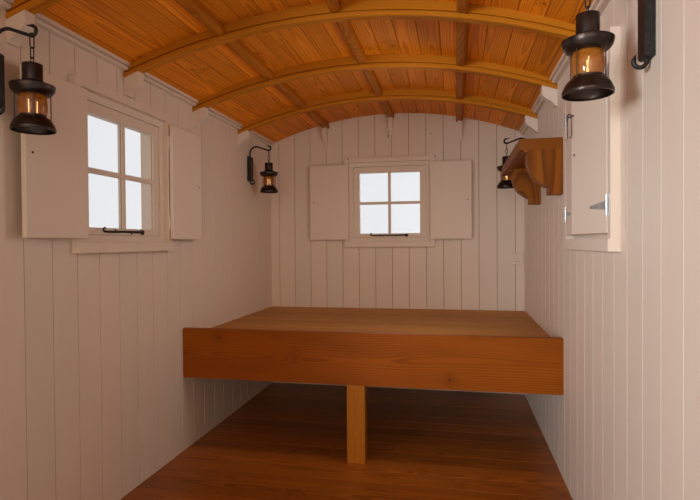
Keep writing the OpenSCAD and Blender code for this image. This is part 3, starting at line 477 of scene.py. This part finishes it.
class Pile:
    """Closed solids gathered into one mesh. Each point keeps its place in the grain, its board's
    tint and how deep it lies in a joint."""

    def __init__(self, name):
        self.name = name
        self.points = []
        self.faces = []
        self.grain = []
        self.tint = []
        self.joint = []

    def solid(self, rings, grain=None, tint=0.0, joint=None, closed=False):
        """Adds a solid that runs through rings of points, capped at its ends unless it closes."""
        first = len(self.points)
        size = len(rings[0])
        for number, ring in enumerate(rings):
            self.points += [tuple(p) for p in ring]
            self.grain += grain[number] if grain else [tuple(p) for p in ring]
            self.joint += joint or [0.0] * size
            self.tint += [tint] * size
        for number in range(len(rings) if closed else len(rings) - 1):
            a = first + number * size
            b = first + (number + 1) % len(rings) * size
            for i in range(size):
                j = (i + 1) % size
                self.faces.append((a + i, a + j, b + j, b + i))
        if not closed:
            last = first + (len(rings) - 1) * size
            self.faces.append(tuple(range(first, first + size)))
            self.faces.append(tuple(range(last, last + size)))

    def turned(self, outline, place, steps):
        """Adds a solid turned about Z from its closed outline of radius and height."""
        rings = []
        for angle in round_turns(steps):
            side = Vector((math.cos(angle), math.sin(angle), 0.0))
            rings.append([place @ (side * r + Vector((0.0, 0.0, z))) for r, z in outline])
        self.solid(rings, closed=True)

    def tube(self, path, radius, sides=8):
        """Adds a round bar along a path, with its radius at each point or one for all."""
        radii = radius if isinstance(radius, list) else [radius] * len(path)
        path = [Vector(p) for p in path]
        side = (path[1] - path[0]).orthogonal().normalized()
        rings = []
        for number, point in enumerate(path):
            ahead = path[min(number + 1, len(path) - 1)] - path[max(number - 1, 0)]
            ahead.normalize()
            side = (side - ahead * side.dot(ahead)).normalized()
            other = ahead.cross(side)
            spokes = [side * math.cos(t) + other * math.sin(t) for t in round_turns(sides)]
            rings.append([point + spoke * radii[number] for spoke in spokes])
        self.solid(rings)

    def make(self, material, slot, body="hut", replaces=(), smooth_to=None, bevel=None):
        """Turns the pile into a piece that rides on a body. Edges are smooth up to an angle in
        degrees, or rounded by bevel."""
        mesh = bpy.data.meshes.new(self.name)
        mesh.from_pydata(self.points, [], self.faces)
        layer = mesh.attributes.new("grain", "FLOAT_VECTOR", "POINT")
        layer.data.foreach_set("vector", [c for p in self.grain for c in p])
        mesh.attributes.new("tint", "FLOAT", "POINT").data.foreach_set("value", self.tint)
        mesh.attributes.new("joint", "FLOAT", "POINT").data.foreach_set("value", self.joint)
        shape = bmesh.new()
        shape.from_mesh(mesh)
        bmesh.ops.recalc_face_normals(shape, faces=shape.faces)
        if smooth_to:
            for face in shape.faces:
                face.smooth = True
            for edge in shape.edges:
                edge.smooth = edge.calc_face_angle(math.pi) < math.radians(smooth_to)
        shape.to_mesh(mesh)
        shape.free()
        mesh.materials.append(material)
        piece = add_object(self.name, mesh)
        if bevel:
            round_edges(piece, bevel, 30)
        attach(piece, body)
        if replaces:
            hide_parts(*replaces)


def board_edges(low, high, cover, seam):
    """Where boards meet between two ends, a cover apart, with one joint at seam."""
    least = 0.2 * cover
    edges = [low]
    edge = seam - math.floor((seam - low) / cover) * cover
    while edge < high - least:
        if edge > low + least:
            edges.append(edge)
        edge += cover
    return edges + [high]


def square_end(value):
    """A board's end that is cut square."""
    return lambda w, d: value


class Boards:
    """A run of boards. place turns across, into and along into a point; low and high give the
    ends of a board at a place across and into it."""

    def __init__(self, name, thick, place, low, high, seed):
        self.pile = Pile(name)
        self.thick = thick
        self.place = place
        self.low = low
        self.high = high
        self.draw = random.Random(seed)

    def section(self, a, b, soft_a, soft_b):
        """Across, into and joint depth round a board's end, from edge a to edge b."""
        left = a + BOARD_GAP / 2
        right = b - BOARD_GAP / 2
        points = [(left, self.thick, 1.0)]
        if soft_a:
            points += [(left, CHAMFER, 1.0), (left + CHAMFER, 0.0, 0.0)]
        else:
            points.append((left, 0.0, 0.0))
        if soft_b:
            points += [(right - CHAMFER, 0.0, 0.0), (right, CHAMFER, 1.0)]
        else:
            points.append((right, 0.0, 0.0))
        return points + [(right, self.thick, 1.0)]

    def lay(self, edges, hole=None):
        """Lays a board between each pair of edges, cut round a hole if there is one."""
        draw = self.draw.uniform
        for a, b in zip(edges, edges[1:]):
            shift = Vector((draw(0, 60), draw(-0.05, 0.05), draw(0, 0.05)))
            tint = draw(-1, 1)
            if not hole or b <= hole[0] or a >= hole[1]:
                self.length(a, b, a, b, self.low, self.high, shift, tint)
                continue
            left, right = hole[:2]
            under, over = [square_end(value) for value in hole[2:]]
            self.length(a, b, a, b, self.low, under, shift, tint)
            self.length(a, b, a, b, over, self.high, shift, tint)
            if a < left:
                self.length(a, b, a, left, under, over, shift, tint)
            if b > right:
                self.length(a, b, right, b, under, over, shift, tint)

    def length(self, a, b, cut_a, cut_b, low, high, shift, tint):
        """Adds one length of the board from a to b, ripped to cut_a and cut_b."""
        section = self.section(cut_a, cut_b, cut_a == a, cut_b == b)
        middle = (a + b) / 2
        rings = []
        grain = []
        for end in (low, high):
            spots = [(w, d, end(w, d)) for w, d, _ in section]
            rings.append([self.place(*spot) for spot in spots])
            grain.append([(e + shift.x, w - middle + shift.y, d + shift.z) for w, d, e in spots])
        self.pile.solid(rings, grain, tint, [joint for _, _, joint in section])


def curve_height(x, radius):
    """How high a curve of the roof lies, at a distance from the hut's middle."""
    return ROOF_Z + math.sqrt(radius * radius - x * x)


def window_opening(node, axis):
    """The hole in the boards round a casement: its sides, bottom and top."""
    low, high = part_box(node)
    return (low[axis] - HOLE_MARGIN, high[axis] + HOLE_MARGIN,
            low.z - HOLE_MARGIN, high.z + HOLE_MARGIN)


def line_walls(material):
    """Vertical boards inside and outside on all three walls."""
    for side, sign in (("left", -1), ("right", 1)):
        hole = window_opening(side + "_casement", 1)
        lining = Boards(
            side + "_wall_boards", LINING_T,
            lambda w, d, z, sign=sign: (sign * (ROOM_SIDE + d), w, z),
            square_end(FLOOR),
            lambda w, d: curve_height(ROOM_SIDE + d, CEILING_R),
            seed=11 + sign)
        lining.lay(board_edges(OPEN_END, END_WALL, WALL_COVER, END_WALL), hole)
        lining.pile.make(material, "inside_paint", replaces=[side + "_lining"])
        cladding = Boards(
            side + "_outside_boards", CLADDING_T,
            lambda w, d, z, sign=sign: (sign * (OUT_SIDE - d), w, z),
            square_end(0.0),
            lambda w, d: curve_height(OUT_SIDE - d, BATTEN_R),
            seed=21 + sign)
        cladding.lay(board_edges(OPEN_END, END_STUDS, WALL_COVER, END_WALL), hole)
        cladding.pile.make(material, "outside_paint", replaces=[side + "_cladding"])
    hole = window_opening("end_casement", 0)
    lining = Boards(
        "end_wall_boards", LINING_T,
        lambda w, d, z: (w, END_WALL + d, z),
        square_end(FLOOR),
        lambda w, d: curve_height(w, CEILING_R),
        seed=31)
    span = ROOM_SIDE + LINING_T
    lining.lay(board_edges(-span, span, WALL_COVER, WALL_SEAM), hole)
    lining.pile.make(material, "inside_paint", replaces=["end_lining"])
    cladding = Boards(
        "end_outside_boards", CLADDING_T,
        lambda w, d, z: (w, END_FACE - d, z),
        square_end(0.0),
        lambda w, d: curve_height(w, BATTEN_R),
        seed=41)
    cladding.lay(board_edges(-OUT_SIDE, OUT_SIDE, WALL_COVER, WALL_SEAM), hole)
    cladding.pile.make(material, "outside_paint", replaces=["end_cladding"])


def lay_floor(material):
    """Boards across the hut."""
    boards = Boards(
        "floor_planks", FLOOR_T,
        lambda w, d, x: (x, w, FLOOR - d),
        square_end(-STUD_SIDE),
        square_end(STUD_SIDE),
        seed=51)
    boards.lay(board_edges(OPEN_END, END_STUDS, FLOOR_COVER, END_WALL))
    boards.pile.make(material, "floor_timber", replaces=["floor_boards"])


def board_bed(material):
    """Boards across the bed base, from wall to wall, with a narrow gap between them."""
    low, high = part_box("bed_platform")
    boards = Boards(
        "bed_boards", high.z - low.z,
        lambda w, d, x: (x, w, high.z - d),
        square_end(low.x),
        square_end(high.x),
        seed=71)
    boards.lay(board_edges(low.y, high.y, BED_COVER, low.y))
    boards.pile.make(material, "bed_timber", replaces=["bed_platform"])


def line_ceiling(material):
    """Boards along the hut, side by side round the ceiling's curve."""
    def place(w, d, y):
        angle = w / CEILING_R
        return ((CEILING_R + d) * math.sin(angle), y, ROOF_Z + (CEILING_R + d) * math.cos(angle))

    span = CEILING_R * math.asin(STUD_SIDE / (CEILING_R + CEILING_T))
    boards = Boards(
        "ceiling_planks", CEILING_T, place,
        square_end(OPEN_END),
        square_end(END_STUDS),
        seed=61)
    boards.lay(board_edges(-span, span, CEILING_COVER, 0.0))
    boards.pile.make(material, "ceiling_timber", replaces=["ceiling_boards"])


def corrugated_roof(material):
    """One curved steel sheet whose corrugations run over the roof from eaves to eaves."""
    pitch = 0.076
    gauge = 0.001
    per_wave = 8
    arcs = 48
    low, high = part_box("roof_sheet")
    reach = math.asin(high.x / (SHEET_R + SHEET_D))
    count = round((high.y - low.y) / pitch) * per_wave
    pile = Pile("corrugated_sheet")
    rings = []
    for number in range(arcs + 1):
        angle = reach * (2 * number / arcs - 1)
        ring = []
        for lift in (0.0, gauge):
            row = []
            for i in range(count + 1):
                y = low.y + (high.y - low.y) * i / count
                turn = 2 * math.pi * (i / per_wave - 0.125)
                r = SHEET_R + (SHEET_D - gauge) * (1 - math.cos(turn)) / 2 + lift
                row.append((r * math.sin(angle), y, ROOF_Z + r * math.cos(angle)))
            ring += row if lift == 0.0 else row[::-1]
        rings.append(ring)
    pile.solid(rings)
    pile.make(material, "roof_steel", replaces=["roof_sheet"], smooth_to=50)


def wall_place(wall, u, out, z):
    """A point on a wall fitting: u to the right as seen from the room, out from the lining."""
    if wall == "left":
        return Vector((-ROOM_SIDE + out, u, z))
    if wall == "right":
        return Vector((ROOM_SIDE - out, -u, z))
    return Vector((u, END_WALL - out, z))


def window_middle(wall):
    """Where a window's middle lies, as u of its wall."""
    middle = middle_of(wall + "_casement")
    if wall == "left":
        return middle.y
    if wall == "right":
        return -middle.y
    return middle.x


class Hinged:
    """Turns a drawing of the closed leaf on the right jamb into its place: side is 1 for a leaf
    on the right jamb and -1 for its mirror on the left, open_angle is in degrees."""

    def __init__(self, wall, side, open_angle):
        self.wall = wall
        self.side = side
        self.turn = math.radians(open_angle)
        self.middle = window_middle(wall)

    def __call__(self, u, out, z):
        du = u - PIN_U
        dv = -(out - PIN_OUT)
        turned_u = PIN_U + du * math.cos(self.turn) - dv * math.sin(self.turn)
        turned_v = -PIN_OUT + du * math.sin(self.turn) + dv * math.cos(self.turn)
        return wall_place(self.wall, self.middle + self.side * turned_u, -turned_v, z)


def disc(at, u, out, z, radius, sides):
    """Points round a circle that looks out of a wall."""
    return [at(u + radius * math.cos(t), out, z + radius * math.sin(t)) for t in round_turns(sides)]


def screw(pile, at, u, out, z, radius=0.0034):
    """A domed screw head on a face that looks out of the wall."""
    dome = ((1.0, -0.0002), (1.0, 0.0003), (0.75, 0.0009), (0.35, 0.0012))
    pile.solid([disc(at, u, out + rise, z, radius * share, 10) for share, rise in dome])


def shutter_leaf(node, wall, side, open_angle, leaf_paint, steel):
    """A painted leaf, and its two tapered straps with screws."""
    at = Hinged(wall, side, open_angle)
    leaf = Pile(node + "_leaf")
    near, far = JAMB_OUT - LEAF_T, JAMB_OUT
    left, right = MEETING_GAP / 2, MEETING_GAP / 2 + LEAF_W
    corners = ((left, near), (right, near), (right, far), (left, far))
    rings = []
    grain = []
    for z in (LEAF_LOW, LEAF_HIGH):
        rings.append([at(u, out, z) for u, out in corners])
        grain.append([(z + len(node), u, out) for u, out in corners])
    leaf.solid(rings, grain)
    leaf.make(leaf_paint, "inside_paint", body=node, replaces=[node], bevel=0.0022)

    straps = Pile(node + "_straps")
    root = STRAP_ROOT / 2
    tip = STRAP_TIP / 2
    outline = [(PIN_U, -root), (PIN_U, root)]
    outline += arc_points(PIN_U - STRAP_L + tip, 0.0, tip, 90, 270, 8)
    front = JAMB_OUT + PLATE_T
    knuckle = [(PIN_U + KNUCKLE_R * math.cos(t), PIN_OUT + KNUCKLE_R * math.sin(t))
               for t in round_turns(16)]
    for z in HINGE_ZS:
        straps.solid([[at(u, out, z + dz) for u, dz in outline] for out in (JAMB_OUT, front)])
        straps.solid([[at(u, out, z + dz) for u, out in knuckle] for dz in (-root, root)])
        for share in (0.25, 0.58, 0.88):
            screw(straps, at, PIN_U - STRAP_L * share, front, z)
    look = steel if wall == "right" else leaf_paint
    straps.make(look, "galvanised_steel", body=node, replaces=[node], smooth_to=40)


def plate_screws(leaf_paint, steel):
    """Screws in the fixed plates at the jambs."""
    screw_u = WINDOW_HALF + 0.55 * PLATE_W
    front = JAMB_OUT + PLATE_T
    for wall, look in (("left", leaf_paint), ("right", steel), ("end", leaf_paint)):
        pile = Pile(wall + "_plate_screws")
        for side in (-1, 1):
            at = Hinged(wall, side, 0)
            for z in HINGE_ZS:
                for rise in (-0.32, 0.0, 0.32):
                    screw(pile, at, screw_u, front, z + rise * PLATE_H)
        pile.make(look, "galvanised_steel", smooth_to=40)


def lantern_tin(bronze):
    """Each lantern's sheet metal: a domed base with rolled edges, a bowl-shaped brim under a round
    cap, four guard wires between them and a wire ring on top."""
    pile = Pile("lantern_tin")

    # Closed outlines of the base and the cap, as radius and height above the foot
    base = [(0.0590, 0.0004)] + arc_points(0.0608, 0.0018, 0.0018, -60, 60, 5)
    base += arc_points(0.0113, 0.0, 0.0517, 8, 12, 1)
    base += arc_points(0.0113, 0.0, 0.0510, 14, 56, 9)
    base += [(0.0378, 0.0432), (0.0366, 0.0438), (0.0366, 0.0488), (0.0343, 0.0488), (0.0343, 0.0412)]
    base += arc_points(0.0113, 0.0, 0.0490, 54, 3, 9)
    cap = [(0.0005, 0.1130), (0.0343, 0.1130), (0.0343, 0.1085), (0.0385, 0.1078), (0.0418, 0.1092)]
    cap += arc_points(0.0331, 0.1360, 0.0292, -62, -8, 8)
    cap += arc_points(0.0604, 0.1372, 0.0026, -50, 150, 8)
    cap += [(0.0555, 0.1388), (0.0540, 0.1402), (0.0430, 0.1447), (0.0315, 0.1495), (0.0302, 0.1508)]
    cap += arc_points(0.0290, 0.1530, 0.0015, -60, 60, 4)
    cap += [(0.0285, 0.1550), (0.0285, 0.2018), (0.0278, 0.2038), (0.0262, 0.2046), (0.0005, 0.2050)]
    guard_r, guard_wire, ring_wire = 0.048, 0.0016, 0.0018
    ring_low, ring_high, ring_half = 0.2050, 0.2254, 0.0057
    for wall, u, z in LANTERNS:
        place = Matrix.Translation(wall_place(wall, u, LANTERN_OUT, z))
        pile.turned(base, place, 48)
        pile.turned(cap, place, 48)
        for number in range(4):
            turn = math.radians(45 + 90 * number)
            x, y = guard_r * math.cos(turn), guard_r * math.sin(turn)
            guard = [place @ Vector((x, y, height)) for height in (0.0355, 0.074, 0.1115)]
            pile.tube(guard, guard_wire)
        oval = []
        for i in range(26):
            turn = 2 * math.pi * i / 24
            middle = ring_high - ring_half if math.sin(turn) > 0 else ring_low + ring_half
            spot = Vector((0.0, ring_half * math.cos(turn), middle + ring_half * math.sin(turn)))
            oval.append(place @ spot)
        pile.tube(oval, ring_wire)
    pile.make(bronze, "bronzed_metal", replaces=["lanterns"], smooth_to=38)


def bracket_screws(iron):
    """Two domed screws in each lantern bracket's wall plate."""
    pile = Pile("bracket_screws")
    plate_front = 0.025
    for wall, u, z in LANTERNS:
        for height in (0.104, 0.230):
            screw(pile, partial(wall_place, wall), u, plate_front, z + height, radius=0.0052)
    pile.make(iron, "black_iron", smooth_to=50)


def soften_edges(width, *nodes):
    """Rounds the sharp edges of CAD timber a little."""
    for node in nodes:
        join = NODES[node].modifiers.new("join", "WELD")
        join.merge_threshold = 1e-5
        round_edges(NODES[node], width, 50)


def lantern_lights(amber, lit):
    """Amber glasses that bulge between the base and the brim, each with two lit filaments."""
    glasses = Pile("amber_glasses")
    filaments = Pile("filaments")
    foot, top, seat_r, belly_r, thick = 0.043, 0.113, 0.034, 0.0405, 0.0016
    wire = 0.0014
    outer = []
    for i in range(13):
        share = i / 12
        swell = math.sin(math.pi * share) ** 0.6
        outer.append((seat_r + (belly_r - seat_r) * swell, foot + (top - foot) * share))
    inner = [(r - thick, z) for r, z in outer[::-1]]
    for wall, u, z in LANTERNS:
        place = Matrix.Translation(wall_place(wall, u, LANTERN_OUT, z))
        glasses.turned(outer + inner, place, 40)
        for lean in (-1, 1):
            low = wall_place(wall, u + lean * 0.009, LANTERN_OUT + lean * 0.006, z + foot + 0.004)
            high = wall_place(wall, u + lean * 0.016, LANTERN_OUT + lean * 0.001, z + foot + 0.051)
            filaments.tube([low, low.lerp(high, 0.5), high], wire, sides=6)
    glasses.make(amber, "lantern_glass", replaces=["lantern_glasses"], smooth_to=40)
    filaments.make(lit, "lantern_glass")


def catch_studs(iron):
    """A small iron stud through each leaf near its free edge, halfway up."""
    u = MEETING_GAP / 2 + STUD_IN
    z = (LEAF_LOW + LEAF_HIGH) / 2
    head = ((0.0015, 0.003), (0.0038, 0.002), (0.0042, 0.0002), (0.0028, -0.001))
    profile = [(r, JAMB_OUT - LEAF_T - rise) for r, rise in head]
    profile += [(r, JAMB_OUT + rise) for r, rise in head[::-1]]
    for node, wall, side, open_angle in LEAVES:
        at = Hinged(wall, side, open_angle)
        pile = Pile(node + "_stud")
        pile.solid([disc(at, u, out, z, r, 12) for r, out in profile])
        pile.make(iron, "black_iron", body=node, smooth_to=50)


def forged_stays(iron):
    """A tapered bar along each sash's lower rail: a curl at its left end, a fixing pad at its
    right and two small pegs under way."""
    bar = ((-0.110, -0.001, 0.0048), (-0.070, -0.0005, 0.0050), (-0.020, 0.001, 0.0048),
           (0.030, 0.0005, 0.0052), (0.080, 0.001, 0.0058), (0.128, 0.0015, 0.0062),
           (0.136, 0.0015, 0.0050))
    pegs = ((-0.070, 0.002, 0.010), (0.045, -0.011, -0.002))
    curl_rise, curl_steps = 0.009, 12
    pad = 0.011
    pile = Pile("forged_stays")
    for wall in ("left", "right", "end"):
        middle = window_middle(wall)
        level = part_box(wall + "_casement")[0].z + STAY_RISE

        def at(u, rise, out=STAY_OUT, middle=middle, level=level, wall=wall):
            return wall_place(wall, middle + u, out, level + rise)

        path = []
        radius = []
        for i in range(curl_steps + 1):
            share = i / curl_steps
            turn = math.radians(20 + 250 * share)
            r = 0.0065 + 0.0025 * share
            path.append(at(r * math.cos(turn) - STAY_HALF, curl_rise + r * math.sin(turn)))
            radius.append(0.0022 * (1 + share))
        for u, rise, r in bar:
            path.append(at(u, rise))
            radius.append(r)
        pile.tube(path, radius, sides=12)
        corners = [(STAY_HALF - pad + pad * sx, pad * sz) for sx, sz in SQUARE]
        pile.solid([[at(u, rise, out) for u, rise in corners] for out in (-0.0085, -0.0045)])
        for u, low, high in pegs:
            peg = [at(u, low), at(u, (low + high) / 2), at(u, high)]
            pile.tube(peg, [0.0030, 0.0026, 0.0022])
    pile.make(iron, "black_iron", replaces=["window_stays"], smooth_to=50)


def nails(iron):
    """Iron nail heads on the end wall and a cup hook under the middle purlin."""
    pile = Pile("wall_nails")
    at = partial(wall_place, "end")
    frame_face = END_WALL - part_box("end_window_frame")[0].y
    head_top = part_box("end_window_frame")[1].z
    for x, z, out in ((0.294, FLOOR + 1.896, 0.0), (-0.325, head_top - 0.007, frame_face),
                      (0.325, head_top - 0.007, frame_face), (-0.254, FLOOR + 1.045, 0.0)):
        screw(pile, at, x, out, z, radius=0.0042)
    x, z, r = -0.020, FLOOR + 1.898, 0.009
    hook = [(-0.004, z), (0.010, z)] + arc_points(0.012, z - r, r, 80, -150, 10)
    pile.tube([at(x, out, h) for out, h in hook], 0.0018)
    pile.make(iron, "black_iron", smooth_to=50)


def cabin_hook(iron):
    """An eye on the right window's near leaf with a wire hook that hangs from it."""
    node, wall, side, open_angle = LEAVES[2]
    at = Hinged(wall, side, open_angle)
    pile = Pile("cabin_hook")
    u, z, face = 0.028, LEAF_HIGH - 0.141, JAMB_OUT
    pile.tube([at(u, face - 0.004, z), at(u, face + 0.010, z)], 0.0019)
    eye_out, eye_r = face + 0.016, 0.006
    eye = [(eye_out + eye_r * math.cos(t), z + eye_r * math.sin(t)) for t in round_turns(16)]
    pile.tube([at(u, out, h) for out, h in eye + eye[:2]], 0.0017)
    for out, foot in ((face + 0.009, -0.078), (face + 0.022, -0.086)):
        hang = [(out, 0.0), (out, -0.035), (out, foot + 0.006), (out + 0.003, foot),
                (out + 0.008, foot + 0.002)]
        pile.tube([at(u, o, z + h) for o, h in hang], 0.0013)
    pile.make(iron, "black_iron", body=node, smooth_to=50)


def socket_plate(cream, dark):
    """A plain socket outlet low on the end wall beside the corner."""
    at = partial(wall_place, "end")
    half, thick, soft = 0.040, 0.009, 0.003
    x, z = 0.904, FLOOR + 0.972

    def ring(reach, out):
        """Points round a square with rounded corners."""
        inset = reach - soft
        outline = []
        for number, (sx, sz) in enumerate(((1, 1), (-1, 1), (-1, -1), (1, -1))):
            start = 90 * number
            outline += arc_points(x + inset * sx, z + inset * sz, soft, start, start + 90, 3)
        return [at(u, out, h) for u, h in outline]

    def block(pile, dx, dz, wide, high, proud):
        """A small block let into the plate's front."""
        corners = [(x + dx + wide / 2 * sx, z + dz + high / 2 * sz) for sx, sz in SQUARE]
        pile.solid([[at(u, out, h) for u, h in corners] for out in (thick - 0.001, thick + proud)])

    plate = Pile("socket_plate")
    plate.solid([ring(half, -0.0005), ring(half, thick - 0.002), ring(half - 0.002, thick)])
    block(plate, 0.0, 0.021, 0.014, 0.018, 0.002)
    plate.make(cream, "inside_paint", bevel=0.0006)
    slots = Pile("socket_slots")
    block(slots, 0.0, 0.002, 0.004, 0.008, 0.0003)
    for dx in (-0.011, 0.011):
        block(slots, dx, -0.018, 0.0065, 0.004, 0.0003)
    slots.make(dark, "black_iron")


def dress(material, *nodes):
    """Gives CAD nodes a material."""
    for node in nodes:
        for material_slot in NODES[node].material_slots:
            material_slot.material = material


def dress_frame(iron, roof):
    """Materials for the pieces that stay as the frame has them."""
    upright_paint = paint("painted_timber", straight_grain("ZXY"))
    level_paint = paint("painted_rails", straight_grain("YXZ"))
    dress(upright_paint, "bow_knees", "purlin_knees", *WINDOW_TIMBER)
    dress(level_paint, "left_cornice", "right_cornice")
    dress(paint("painted_verge", straight_grain("XYZ")), "verge_board")
    dress(wood("bow_pine", BOW, bow_grain, ring=0.005, knot=0.005, figure=0.6, gloss=0.08),
          *(f"bow_{i}" for i in range(1, 6)))
    # Purlins in the bows' pine made darker, as painted shade
    dress(wood("shaded_purlin_pine", SHADED_PURLIN, straight_grain("YXZ"), ring=0.005, knot=0.006, figure=0.6,
               gloss=0.08), "purlins")
    dress(wood("rail_pine", RAIL, straight_grain("XZY", middle_of("bed_rail")), ring=0.010,
               pith=0.045, drift=0.07, knot=0.013, figure=0.42, blotches=0.30, gloss=0.10),
          "bed_rail")
    dress(wood("post_pine", POST, straight_grain("ZXY", middle_of("bed_post")), knot=0.010,
               figure=0.7, rough=0.38), "bed_post")
    shelf_middle = middle_of("shelf")
    dress(wood("shelf_pine", SHELF, straight_grain("YXZ", shelf_middle), knot=0.010, figure=0.7,
               rough=0.45), "shelf")
    dress(wood("corbel_pine", SHELF, straight_grain("ZXY", shelf_middle), ring=0.008, knot=0.010,
               figure=0.7, rough=0.45), "shelf_corbels")
    dress(wood("joist_pine", BED, straight_grain("YXZ"), knot=0.010, rough=0.6), "bed_joists")
    dress(wood("sawn_pine", SAWN, straight_grain("YXZ"), rough=0.75), "floor_frame",
          "roof_battens")
    dress(wood("stud_pine", SAWN, straight_grain("ZXY"), rough=0.75), "wall_studs",
          "wall_end_posts")
    dress(iron, "lantern_brackets", "lantern_chains")
    dress(hinge_finish(), "shutter_hinges")
    dress(roof, "roof_sheet")
    dress(clear_glass("window_pane", (0.85, 0.93, 0.96), 0.10), "window_glass")


def camera():
    """Stands in the room at the photograph's place, looking at the end wall."""
    focal_px, frame_px, sensor = 522.5, 700.0, 36.0
    yaw, pitch, roll = 0.1988, -0.0135, -0.0073
    place = Vector((0.4664, END_WALL - 3.904, FLOOR + 1.095))
    upright = Vector((0.0, 0.0, 1.0))
    right = Vector((math.cos(yaw), math.sin(yaw), 0.0))
    level = Vector((-math.sin(yaw), math.cos(yaw), 0.0))
    up = math.cos(pitch) * upright - math.sin(pitch) * level
    ahead = math.cos(pitch) * level + math.sin(pitch) * upright
    tilted_right = math.cos(roll) * right + math.sin(roll) * up
    tilted_up = math.cos(roll) * up - math.sin(roll) * right
    data = bpy.data.cameras.new("camera")
    data.sensor_width = sensor
    data.lens = focal_px / frame_px * sensor
    data.clip_start = 0.02
    eye = add_object("camera", data)
    turn = Matrix((tilted_right, tilted_up, -ahead)).transposed().to_4x4()
    eye.matrix_world = Matrix.Translation(place) @ turn
    bpy.context.scene.camera = eye


def lamp(name, place, target, size, power, colour, spread):
    """A rectangular lamp that the camera doesn't see."""
    data = bpy.data.lights.new(name, "AREA")
    data.spread = math.radians(spread)
    data.shape = "RECTANGLE"
    data.size, data.size_y = size
    data.energy = power
    data.color = colour
    light = add_object(name, data)
    place = Vector(place)
    light.rotation_mode = "QUATERNION"
    light.rotation_quaternion = (Vector(target) - place).to_track_quat("-Z", "Y")
    light.location = place
    light.visible_camera = False


def seen_rays(tree):
    """One where the camera, a reflection or glass looks, and zero for the light that falls."""
    rays = tree.nodes.new("ShaderNodeLightPath")
    amount = rays.outputs["Is Camera Ray"]
    for kind in ("Is Glossy Ray", "Is Transmission Ray"):
        either = tree.nodes.new("ShaderNodeMath")
        either.operation = "MAXIMUM"
        tree.links.new(amount, either.inputs[0])
        tree.links.new(rays.outputs[kind], either.inputs[1])
        amount = either.outputs[0]
    return amount


def studio_floor():
    """A pale floor under the hut."""
    reach = 20.0
    drop = -0.001
    mesh = bpy.data.meshes.new("studio_floor")
    mesh.from_pydata([(reach * x, reach * y, drop) for x, y in SQUARE], [], [(0, 1, 2, 3)])
    look = Look("studio_floor")
    level = look.uneven(look.place(), 3.0, 0.01)
    colour = look.mix(look.math("ADD", level, 0.5), (0.44, 0.44, 0.435), (0.47, 0.47, 0.465))
    pale = look.math("MULTIPLY", seen_rays(look.tree), FLOOR_GLOW)
    mesh.materials.append(look.finish(Base_Color=colour, Roughness=0.9, Emission_Color=FLOOR_SEEN,
                                      Emission_Strength=pale))
    floor = add_object("studio_floor", mesh)


def surroundings():
    """A pale background that sheds a warm, weaker light."""
    world = bpy.data.worlds.new("studio")
    bpy.context.scene.world = world
    world.use_nodes = True
    tree = world.node_tree
    soft = tree.nodes["Background"]
    soft.inputs["Color"].default_value = SKY_LIGHT
    soft.inputs["Strength"].default_value = SKY_STRENGTH
    seen = tree.nodes.new("ShaderNodeBackground")
    seen.inputs["Color"].default_value = SKY_SEEN
    blend = tree.nodes.new("ShaderNodeMixShader")
    tree.links.new(seen_rays(tree), blend.inputs["Fac"])
    tree.links.new(soft.outputs[0], blend.inputs[1])
    tree.links.new(seen.outputs[0], blend.inputs[2])
    tree.links.new(blend.outputs[0], tree.nodes["World Output"].inputs["Surface"])
    bpy.context.scene.view_settings.view_transform = "Standard"


camera()
studio_floor()
for settings in LAMPS:
    lamp(*settings)
surroundings()
iron = forged_iron()
bronze = bronzed_sheet()
steel = galvanised_steel()
roof = roof_steel()
line_walls(paint("board_paint", board_grain))
lay_floor(wood("floor_pine", PLANK, board_grain, ring=0.007, figure=0.65, rough=0.32, coat=0.15,
               shade=0.26, joint=0.9))
board_bed(wood("bed_pine", BED, board_grain, figure=0.55, rough=0.6, shade=0.22))
line_ceiling(wood("ceiling_pine", HONEY, board_grain, ring=0.007, drift=0.035, knot=0.008,
                  figure=0.5, shade=0.22, joint=0.6, gloss=0.12))
corrugated_roof(roof)
leaf_paint = paint("leaf_paint", board_grain)
for leaf in LEAVES:
    shutter_leaf(*leaf, leaf_paint, steel)
plate_screws(leaf_paint, steel)
lantern_lights(clear_glass("amber_glass", (0.40, 0.13, 0.010), 0.50), glow())
lantern_tin(bronze)
bracket_screws(iron)
catch_studs(iron)
forged_stays(iron)
nails(iron)
cabin_hook(iron)
socket_plate(paint("socket_cream", straight_grain("XYZ")), iron)
dress_frame(iron, roof)
soften_edges(0.0025, "bed_rail", "bed_post", "shelf")
soften_edges(0.0012, *WINDOW_TIMBER)
